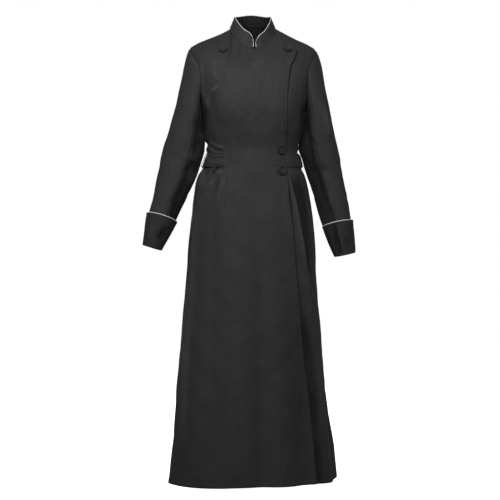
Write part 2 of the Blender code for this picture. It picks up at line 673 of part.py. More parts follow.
def collar_outside():
    """Outer points of the collar from its left end round the back to its right end, rows from the seam up."""
    angles = collar_angles()
    base = trunk(angles, np.zeros_like(angles), LAP) + np.array([0, 0, COLLAR_RISE])
    in_front = np.cos(angles) >= 0
    depth = np.where(in_front, COLLAR_TOP_FRONT, COLLAR_TOP_BACK)
    far_z = np.where(in_front, COLLAR_TOP_FRONT_Z, COLLAR_TOP_BACK_Z)
    across = np.sin(angles) / COLLAR_TOP_HALF_WIDTH
    along = np.cos(angles) / depth
    radius = (across ** 2 + along ** 2) ** -0.5
    bend = np.where(in_front, COLLAR_FRONT_POWER, COLLAR_BACK_POWER)
    slant = (radius * np.abs(np.cos(angles)) / depth) ** bend
    z = COLLAR_TOP_SIDE_Z + (far_z - COLLAR_TOP_SIDE_Z) * slant
    from_end = np.abs(angle_apart(angles, 0)) - COLLAR_END
    corner = np.clip(1 - from_end / (COLLAR_CORNER - COLLAR_END), 0, 1)
    z -= COLLAR_CORNER_DROP * corner ** 1.9
    top = np.stack([radius * np.sin(angles), -radius * np.cos(angles), z], axis=1)
    rows = []
    for row in range(COLLAR_ROWS + 1):
        share = row / COLLAR_ROWS
        rows.append(base + (top - base) * share)
    return np.array(rows)


def beyond_edge(edge, normals, inside):
    """Unit steps off an edge of a wall: square to the edge, in the wall's own surface, away from the row inside it."""
    step = unit(np.cross(unit(np.gradient(edge, axis=0)), normals))
    return step * np.sign(((edge - inside) * step).sum(axis=1, keepdims=True))


def add_collar():
    outer = collar_outside()
    normals = outward_normals(outer, False, outer.mean(axis=1))
    inner = outer - normals * STIFF_CLOTH
    add_wall("collar", outer, inner, "coat_cloth")
    centre = (outer + inner) / 2
    away = PIPING_RADIUS + SEAM_GAP
    above = beyond_edge(centre[-1], normals[-1], centre[-2])
    left = beyond_edge(centre[:, 0], normals[:, 0], centre[:, 1])
    right = beyond_edge(centre[:, -1], normals[:, -1], centre[:, -2])
    path = np.concatenate([
        (centre[:, 0] + left * away)[1:-1],
        [centre[-1, 0] + (left[-1] + above[0]) * away],
        (centre[-1] + above * away)[1:-1],
        [centre[-1, -1] + (right[-1] + above[-1]) * away],
        (centre[:, -1] + right * away)[-2:0:-1],
    ])
    add_tube("collar_piping", path, PIPING_RADIUS, "piping")


def band_angles():
    """The panels' columns at the band's height, from the right front's seam round the back to the lap's left edge."""
    start = angle_of_reach(BAND_START, BAND_MIDDLE)
    end = angle_of_reach(BAND_END, BAND_MIDDLE)
    row = ROW_HEIGHTS.index(BAND_MIDDLE)
    front = front_grid(1)[0][row]
    back = back_grid()[0][row]
    right = front[(front > -start) & (front < pi / 2 - 1e-6)]
    left = front[(front > end + 0.02) & (front < pi / 2 - 1e-6)]
    return np.concatenate([[start], -right[::-1], -back, left - 2 * pi, [end - 2 * pi]])


def band_lift(angles, height):
    """How far the band's inside lies off the trunk: over the lap where it starts, and further off at the sides."""
    inside_lap = angles >= -lap_angle(np.array([BAND_MIDDLE]))[0] - 1e-6
    off_waist = BAND_SIDE_LIFTS[height] * np.abs(np.sin(angles)) ** 8
    return SEAM_GAP + np.where(inside_lap, LAP, 0.0) + off_waist


def add_band():
    angles = band_angles()
    outer, inner = [], []
    for height in (BAND_BOTTOM, BAND_MIDDLE, BAND_TOP):
        heights = np.full(angles.shape, height)
        lift = band_lift(angles, height)
        outer.append(trunk(angles, heights, lift + STIFF_CLOTH))
        inner.append(trunk(angles, heights, lift))
    add_wall("waist_band", np.array(outer), np.array(inner), "coat_cloth")


def add_band_loop(side_name, side):
    """A strap over the band at a side seam: it leaves the trunk above the band and comes back to it below."""
    low, high = BAND_BOTTOM, BAND_TOP
    heights = (low - LOOP_MARGIN, low - 0.6 * LOOP_MARGIN, low, BAND_MIDDLE, high, high + 0.6 * LOOP_MARGIN,
               high + LOOP_MARGIN)
    over = [BAND_SIDE_LIFTS[height] + SEAM_GAP + STIFF_CLOTH + LOOP_CLEARANCE for height in (low, BAND_MIDDLE, high)]
    lifts = (SEAM_GAP, SEAM_GAP, *over, SEAM_GAP, SEAM_GAP)
    half_angle = LOOP_HALF_WIDTH / 0.147
    angles = side * (pi / 2 + np.array([-1.0, 0.0, 1.0]) * half_angle)
    inner, outer = [], []
    for height, lift in zip(heights, lifts):
        inner.append([on_cloth(angle, height, lift)[0] for angle in angles])
        outer.append([on_cloth(angle, height, lift + LOOP_CLOTH)[0] for angle in angles])
    add_wall(f"band_loop_{side_name}", np.array(outer), np.array(inner), "coat_cloth")


def add_button(place):
    """A dished round button that faces out of the cloth it is sewn to."""
    angle = angle_of_reach(place.reach, place.side_z)
    seat, out = on_cloth(angle, place.side_z, LAP + BUTTON_STAND)
    across = unit(np.cross([0.0, 0.0, 1.0], out))
    up = np.cross(out, across)
    turn = 2 * pi * np.arange(BUTTON_SIDES) / BUTTON_SIDES
    points = []
    for ring in BUTTON_PROFILE:
        for corner in turn:
            points.append(seat + ring.radius * (across * cos(corner) + up * sin(corner)) + out * ring.height)
    faces = []
    for ring in range(len(BUTTON_PROFILE) - 1):
        for corner in range(BUTTON_SIDES):
            a = ring * BUTTON_SIDES + corner
            b = ring * BUTTON_SIDES + (corner + 1) % BUTTON_SIDES
            faces.append((a, b, b + BUTTON_SIDES, a + BUTTON_SIDES))
    faces.append(tuple(reversed(range(BUTTON_SIDES))))
    last = (len(BUTTON_PROFILE) - 1) * BUTTON_SIDES
    faces.append(tuple(range(last, last + BUTTON_SIDES)))
    add_object(place.name, points, faces, "button")


def build():
    clear_scene()
    add_front("front_right", -1, lapped=True)
    add_front("front_left", 1, lapped=False)
    add_back()
    for side_name, side in (("right", -1), ("left", 1)):
        add_sleeve(side_name, side)
        add_cuff(side_name, side)
        add_band_loop(side_name, side)
    add_collar()
    add_band()
    for place in BUTTONS:
        add_button(place)


build()
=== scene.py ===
"""A clergy dress in its finished look: cloth shells with folds, creases, seams and stitching, corded piping
and buttons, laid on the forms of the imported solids, over a pale floor in soft studio light.

Metres, +Z up, and the front faces -Y. "Right" is the wearer's right, at -X. The trunk is one surface of
rings: an angle goes round it, 0 at the centre front and 90 degrees at a side seam, and a height, taken at the
side, goes up it.
"""

from collections import namedtuple
from math import cos, pi, radians, sin

import bpy
import numpy as np
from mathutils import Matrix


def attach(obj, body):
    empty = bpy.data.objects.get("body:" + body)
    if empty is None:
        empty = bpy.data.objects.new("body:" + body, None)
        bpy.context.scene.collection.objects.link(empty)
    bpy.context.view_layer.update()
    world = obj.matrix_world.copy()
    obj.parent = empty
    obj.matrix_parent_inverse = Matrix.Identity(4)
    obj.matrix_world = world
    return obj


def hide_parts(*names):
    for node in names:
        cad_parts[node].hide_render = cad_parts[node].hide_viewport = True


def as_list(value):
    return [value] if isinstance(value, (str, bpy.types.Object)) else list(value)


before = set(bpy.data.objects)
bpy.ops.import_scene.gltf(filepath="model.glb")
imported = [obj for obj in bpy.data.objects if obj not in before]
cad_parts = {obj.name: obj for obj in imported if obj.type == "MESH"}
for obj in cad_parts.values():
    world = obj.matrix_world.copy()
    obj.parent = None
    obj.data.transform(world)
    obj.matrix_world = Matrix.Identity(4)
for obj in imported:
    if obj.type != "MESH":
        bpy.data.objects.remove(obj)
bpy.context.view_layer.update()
SIDES = (("right", -1), ("left", 1))

# Cloth
CLOTH = 0.0012           # shown wall of one panel
STIFF_CLOTH = 0.0020     # shown wall of collar, cuffs and band
SOLID_CLOTH = 0.0016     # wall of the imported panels, which the lap is raised by
SEAM_GAP = 0.0003
LAP = SOLID_CLOTH + SEAM_GAP
EDGE_BULGE = 0.45        # how far a cut edge rounds out, in walls
SHARP_ANGLE = 70         # edges past this many degrees stay sharp

# Trunk
HEM = -1.400
BAND_BOTTOM, BAND_MIDDLE, BAND_TOP = -0.4305, -0.4095, -0.3885
ARMPIT = -0.245
SHOULDER_TIP = -0.063
LAP_CORNER = -0.0416

Ring = namedtuple("Ring", "name side_z front_z back_z half_width front_depth back_depth squareness")
RINGS = (
    Ring("hem", HEM, -1.400, -1.402, 0.2520, 0.152, 0.205, 2.2),
    Ring("shin", -1.225, -1.225, -1.225, 0.2365, 0.151, 0.192, 2.2),
    Ring("knee", -1.000, -1.000, -1.000, 0.2215, 0.149, 0.176, 2.2),
    Ring("thigh", -0.800, -0.800, -0.800, 0.2045, 0.145, 0.161, 2.3),
    Ring("hip", -0.600, -0.600, -0.600, 0.1890, 0.137, 0.146, 2.4),
    Ring("high hip", -0.500, -0.500, -0.500, 0.1745, 0.127, 0.129, 2.4),
    Ring("under band", -0.450, -0.450, -0.450, 0.1590, 0.1225, 0.115, 2.35),
    Ring("band", -0.4305, -0.4305, -0.4305, 0.1475, 0.1205, 0.104, 2.3),
    Ring("waist", -0.385, -0.385, -0.385, 0.1405, 0.1190, 0.097, 2.3),
    Ring("ribs", -0.320, -0.320, -0.320, 0.1510, 0.1312, 0.104, 2.35),
    Ring("armpit", ARMPIT, -0.246, -0.245, 0.1630, 0.142, 0.113, 2.4),
    Ring("chest", -0.150, -0.166, -0.152, 0.1810, 0.131, 0.117, 2.45),
    Ring("shoulder tip", SHOULDER_TIP, -0.118, -0.078, 0.1945, 0.111, 0.097, 2.1),
    Ring("shoulder end", -0.0475, -0.1060, -0.0530, 0.1740, 0.1035, 0.0880, 2.05),
    Ring("mid shoulder", -0.0315, -0.094, -0.027, 0.1370, 0.0955, 0.078, 2.0),
    Ring("neck", 0.0, -0.0694, 0.017, 0.0700, 0.0780, 0.060, 2.0),
)
RING_SLANT = 1.2         # a ring's height falls with this power of its depth
SKIN_TURN, SKIN_CLIMB = 0.004, 0.005   # steps round and up the surface that give its normals
HALVINGS = 40            # rounds that find an angle from its distance to the centre

# Large folds: angles in degrees, plus towards the wearer's left. A fold starts at top, has its whole depth at
# full, and keeps rest of it from fade down to the hem. A plus depth stands out.
Fold = namedtuple("Fold", "name angle_top angle_hem top full fade rest depth width")
FOLDS = (
    Fold("right front swing", -40, -50, -0.55, -1.38, -1.39, 1.0, 0.030, 24),
    Fold("centre hollow", 6, 8, -0.70, -1.38, -1.39, 1.0, -0.012, 13),
    Fold("left front hollow", 52, 57, -0.62, -1.36, -1.39, 1.0, -0.024, 15),
    Fold("left princess ridge", 42, 74, -0.435, -0.58, -1.38, 0.5, 0.009, 8),
    Fold("left princess valley", 62, 88, -0.435, -0.56, -1.38, 0.4, -0.009, 9),
    Fold("left back flare", 102, 109, -1.05, -1.39, -1.40, 1.0, 0.035, 13),
    Fold("right hip fullness", -88, -88, -0.405, -0.44, -0.60, 0.0, 0.0075, 20),
    Fold("left hip fullness", 88, 88, -0.405, -0.435, -0.48, 0.0, 0.0010, 20),
    Fold("right side ridge", -72, -86, -0.45, -1.30, -1.39, 1.0, 0.0085, 12),
    Fold("right thigh hollow", -90, -90, -0.58, -0.74, -0.96, 0.0, -0.0034, 18),
    Fold("left thigh hollow", 90, 90, -0.85, -0.95, -1.07, 0.0, -0.0040, 16),
    Fold("right side fullness", -90, -90, -0.285, -0.330, -0.382, 0.0, 0.0052, 15),
    Fold("left waist hollow", 90, 90, -0.358, -0.380, -0.400, 0.0, -0.0045, 14),
    Fold("left side fullness", 90, 90, -0.295, -0.340, -0.366, 0.0, 0.0030, 14),
    Fold("right hip dent", -56, -60, -0.435, -0.475, -0.62, 0.0, -0.006, 9),
    Fold("right princess ridge", -42, -34, -0.44, -0.56, -1.38, 0.5, 0.004, 7),
    Fold("right back ridge", -128, -122, -0.50, -1.30, -1.39, 1.0, 0.016, 14),
    Fold("centre back hollow", 180, 176, -0.60, -1.35, -1.39, 1.0, -0.016, 14),
    Fold("left back ridge", 146, 148, -0.50, -1.30, -1.39, 1.0, 0.014, 13),
    Fold("right back hollow", -152, -150, -0.55, -1.35, -1.39, 1.0, -0.010, 11),
)
FOLD_BEND = 0.7          # below 1, a fold swings to its hem angle soon
BUST_HEIGHT, BUST_ANGLE, BUST_FULLNESS = -0.262, 34, 0.007
BUST_SPREAD, BUST_RISE = 20, 0.070

SKIRT_ROWS, BODICE_ROWS, TOP_ROWS = 118, 78, 22
BODICE_START = -0.56
ARMHOLE_STEPS = 40
ARM_COLUMNS = 2 * ARMHOLE_STEPS
ARMHOLE_FRONT, ARMHOLE_BACK = 23.5, 20.5   # how far, in degrees, an armhole cuts into the front and the back
SIDE_COLUMNS, LAP_COLUMNS, UNDERLAP_COLUMNS, BACK_COLUMNS = 44, 104, 40, 112
EDGE_CROWDING = 0.62     # how much closer columns lie at a panel's two edges, 0 to 1

# The lap, by side height: how far its edge lies from the centre front, how far it stands off the cloth under
# it, and the width and depth of the shaded dip beside it.
LAP_REACH_TABLE = (
    (HEM, 0.187), (-1.225, 0.170), (-0.925, 0.136), (-0.631, 0.111), (-0.508, 0.098), (-0.385, 0.0935),
    (-0.231, 0.0934), (-0.150, 0.0990), (-0.085, 0.106), (SHOULDER_TIP, 0.1165), (LAP_CORNER, 0.128),
)
LAP_STAND_TABLE = (
    (HEM, 0.0030), (-1.10, 0.0022), (-0.80, 0.0016), (-0.62, 0.0026), (-0.52, 0.0036), (-0.44, 0.0014),
    (-0.37, 0.0006), (-0.25, 0.0009), (-0.14, 0.0016), (-0.075, 0.0030), (LAP_CORNER, 0.0036), (0.0, 0.0008),
)
LAP_TROUGH_TABLE = (
    (HEM, 0.0110, 0.0060), (-1.25, 0.0200, 0.0044), (-1.10, 0.0340, 0.0038), (-0.95, 0.0220, 0.0034),
    (-0.80, 0.0045, 0.0026), (-0.60, 0.0030, 0.0026), (-0.48, 0.0034, 0.0034), (-0.37, 0.0030, 0.0036),
    (-0.20, 0.0030, 0.0036), (-0.10, 0.0032, 0.0046), (0.0, 0.0030, 0.0036),
)
LAP_STAND_WIDTH = 0.014
LAP_HIDES = 0.0020       # how much cloth beside it the standing edge hides
Waver = namedtuple("Waver", "share rate phase")
STAND_WAVER, TROUGH_WAVER = Waver(0.25, 38, 1.0), Waver(0.2, 31, 0.0)
UNDERLAP_RAMP = 0.060    # how softly the right front comes down beside the left front's edge under it
UNDERLAP_SINK, UNDERLAP_SINK_START, UNDERLAP_SINK_WIDTH = 0.0006, 0.3, 0.012

# Seams, rows of stitches and worn edges, by the distance from an edge
SEAM_DIP, SEAM_WIDTH = 0.0007, 0.0028
SEAM_PUFF, SEAM_PUFF_OFFSET, SEAM_PUFF_WIDTH = 0.0004, 0.0060, 0.0035
STITCH_LINE, HEM_LINE, BAND_LINE, COLLAR_LINE = 0.0060, 0.022, 0.0050, 0.0030
STITCH_DIP, STITCH_DIP_WIDTH = 0.0005, 0.0022
WEAR_WIDTH = 0.0035

# Arms: out and down place a ring's middle, forward is towards the front. The right sleeve is slacker towards
# the body by right_slack, the left one by left_slack.
ArmRing = namedtuple("ArmRing", "name out down forward half_width half_depth right_slack left_slack")
ARM_RINGS = (
    ArmRing("biceps", 0.2040, -0.318, 0.000, 0.0510, 0.0660, 0.011, 0.005),
    ArmRing("above elbow", 0.2085, -0.350, -0.001, 0.0545, 0.0635, 0.012, 0.010),
    ArmRing("elbow", 0.2150, -0.385, -0.001, 0.0570, 0.0610, 0.012, 0.002),
    ArmRing("below elbow", 0.2250, -0.427, 0.001, 0.0555, 0.0575, 0.011, 0.000),
    ArmRing("forearm", 0.2360, -0.468, 0.004, 0.0530, 0.0540, 0.008, 0.000),
    ArmRing("mid forearm", 0.2475, -0.511, 0.009, 0.0495, 0.0500, 0.005, 0.002),
    ArmRing("low forearm", 0.2590, -0.553, 0.015, 0.0460, 0.0465, 0.001, 0.004),
    ArmRing("above cuff", 0.2685, -0.588, 0.020, 0.0440, 0.0445, 0.000, 0.003),
    ArmRing("in cuff", 0.2815, -0.634, 0.028, 0.0375, 0.0390, 0.000, 0.000),
    ArmRing("sleeve end", 0.2931, -0.676, 0.0344, 0.0316, 0.0335, 0.000, 0.000),
)
CUFF_RINGS = (
    ArmRing("cuff top", 0.2715, -0.5975, 0.0215, 0.0495, 0.0505, 0.000, 0.000),
    ArmRing("cuff middle", 0.2850, -0.646, 0.0300, 0.0405, 0.0420, 0.000, 0.0045),
    ArmRing("cuff bottom", 0.2968, -0.6895, 0.0365, 0.0315, 0.0335, 0.000, 0.0065),
)
ARM_SWING = {"right": 1.8, "left": -1.5}   # degrees that each arm hangs out, about the armpit
ARM_DROP = {"right": 0.007, "left": -0.006}
ARM_DROP_LENGTH = 0.4    # how far below the armpit the drop is whole
SIDE_ROOM, SIDE_ROOM_START = 0.0006, 0.02  # of a sleeve beside the trunk, and how soon below the armpit
CUFF_MOUTH_TILT = 0.0060
CAP_STEPS, CAP_CROWDING = 26, 1.15
CAP_LEAVES = {"right": 0.016, "left": 0.024}   # how far a cap runs on from the armhole before it turns down
CAP_TURNS = 0.080
CAP_TURN_BELOW, CAP_TURN_ABOVE = 0.3, 1.0      # shares of that turn under the arm and at the shoulder tip
CAP_OUT, CAP_OUT_ABOVE, CAP_FORWARD, CAP_DOWN, CAP_DOWN_ABOVE = 0.50, 0.45, 0.22, 0.725, 0.275
SLEEVE_FRONT_SEAM, SLEEVE_BACK_SEAM = 0.30, 0.70   # shares of the way round from the shoulder tip
ARM_STEPS, CUFF_STEPS = 8, 14      # finer rings between two rings of the tables
# painted shade: the under sleeve is coloured darker, as dark as a fold of this depth would be painted
UNDER_SHADE = 0.0016     # the shade of the under sleeve, given as the depth of fold that has it

# Collar and piping
COLLAR_TOP_HALF_WIDTH, COLLAR_TOP_FRONT, COLLAR_TOP_BACK = 0.0565, 0.0630, 0.0555
COLLAR_TOP_SIDE_Z, COLLAR_TOP_FRONT_Z, COLLAR_TOP_BACK_Z = 0.0385, -0.0215, 0.0490
COLLAR_FRONT_POWER, COLLAR_BACK_POWER = 1.6, 3.0   # how its top edge bends from the sides
COLLAR_END = 3.9         # degrees from the centre front to each end of the collar
COLLAR_CORNER, COLLAR_CORNER_DROP, COLLAR_CORNER_POWER = 19.0, 0.0150, 1.9
COLLAR_LEFT_DROP, COLLAR_RIGHT_DROP = 0.0085, 0.0035    # how much lower the shown top edge runs in front
COLLAR_DROP_END, COLLAR_DROP_FADE, COLLAR_RIGHT_FADE = 100.0, 30.0, 40
COLLAR_ROWS, COLLAR_COLUMNS = 16, 180
COLLAR_RISE = 0.0006
COLLAR_LAPS = 0.05       # share of its height that the collar runs down over the neck seam
PIPING_RADIUS, COLLAR_PIPING_RADIUS = 0.0012, 0.00085
PIPING_SIDES = 14
PIPING_CORNER = 1.2      # how much further off the collar's corners it runs
PIPING_SOFTENING = 3     # rounds of easing its corners

# Band and loops
BAND_START, BAND_END = -0.086, 0.0925
BAND_LIFT_TABLE = ((BAND_BOTTOM, 0.0036), (BAND_MIDDLE, 0.0055), (BAND_TOP, 0.0004))    # at the sides
BAND_LIFT_POWER = 8      # how close to the sides the band lifts
BAND_ROWS, BAND_COLUMNS = 22, 280
BAND_RADIUS = 0.14       # of the trunk beside the lap
BAND_TUCK = 0.012        # how far from its ends the band sinks into the seam and under the lap
BAND_PROUD = 0.0004
BandWrinkle = namedtuple("BandWrinkle", "height reach length size width slope")
BAND_WRINKLES = (
    BandWrinkle(-0.3940, -0.122, 0.020, -0.0011, 0.0018, 0.06),
    BandWrinkle(-0.3995, -0.112, 0.026, 0.0010, 0.0020, 0.03),
    BandWrinkle(-0.4055, -0.104, 0.016, -0.0012, 0.0017, -0.05),
    BandWrinkle(-0.4100, -0.124, 0.024, 0.0011, 0.0021, -0.06),
    BandWrinkle(-0.4165, -0.116, 0.015, -0.0010, 0.0018, -0.02),
    BandWrinkle(-0.4225, -0.108, 0.022, 0.0008, 0.0020, 0.03),
    BandWrinkle(-0.3990, 0.118, 0.020, -0.0007, 0.0020, 0.06),
    BandWrinkle(-0.4120, 0.122, 0.024, 0.0006, 0.0022, 0.03),
)
WRINKLE_FACING, WRINKLE_START = 0.3, 0.4    # how the wrinkles fade where the band turns away from the front
LOOP_HALF_WIDTH, LOOP_MARGIN, LOOP_CLOTH, LOOP_CLEARANCE = 0.0055, 0.0050, 0.0014, 0.0007
LOOP_KNEE = 0.6          # share of the margin where a loop leaves the cloth
LOOP_REACH = 0.147       # from the axis to the side seam at the band
LOOP_CROWN, LOOP_CROWN_POWER = 0.0003, 4
LOOP_ROWS, LOOP_COLUMNS = 40, 9

# Buttons: a lathe profile of radius and height, from the shank's foot to the middle of the face, with four
# holes and crossed threads. upper_rim is the share of the rim's shade that its upper side has.
BUTTON_PROFILE = (
    (0.0032, 0.0000), (0.0034, 0.0016), (0.0114, 0.0019), (0.0129, 0.0024),
    (0.0134, 0.0033), (0.0131, 0.0043), (0.0121, 0.0049), (0.0109, 0.0048),
    (0.0098, 0.0041), (0.0084, 0.0036), (0.0055, 0.0034), (0.0025, 0.0033),
)
ButtonPlace = namedtuple("ButtonPlace", "name reach side_z turn upper_rim")
BUTTONS = (
    ButtonPlace("button_top_right", -0.0965, -0.0345, 20, 0.05),
    ButtonPlace("button_top_left", 0.1015, -0.0330, 38, 0.05),
    ButtonPlace("button_waist", 0.0775, -0.382, 12, 0.8),
    ButtonPlace("button_hip", 0.0805, -0.4465, 31, 0.8),
)
BUTTON_SIDES, BUTTON_SMOOTH, BUTTON_SHARP = 56, 4, 38
BUTTON_STAND = 0.0005
# painted shade on a button: a dark rim, darkest on its lower side, a darker line where the face dishes, and a
# dark middle round the holes
BUTTON_RIM, BUTTON_RIM_WIDTH = 0.0116, 0.0028    # the darker rim that the eye finds first
BUTTON_EYE = 0.0024      # the dark middle, round the holes
BUTTON_DISH, BUTTON_DISH_WIDTH, BUTTON_DISH_SHARE = 0.0068, 0.0010, 0.6   # the line where the face dishes
RIM_SHADE_MIDDLE, RIM_SHADE_SPREAD = 0.5, 0.7    # how the rim's shade grows downwards
HOLE_RADIUS, HOLE_OFFSET, HOLE_SIDES = 0.00115, 0.0019, 14
HOLE_ENDS = (0.0024, 0.0052)
THREAD_RADIUS, THREAD_SIDES, THREAD_STEPS = 0.00042, 8, 12
THREAD_RISE, THREAD_OVER, THREAD_BOW, THREAD_SINK = 0.0033, 0.0004, 0.0006, 0.0012
THREAD_ENDS = 0.95

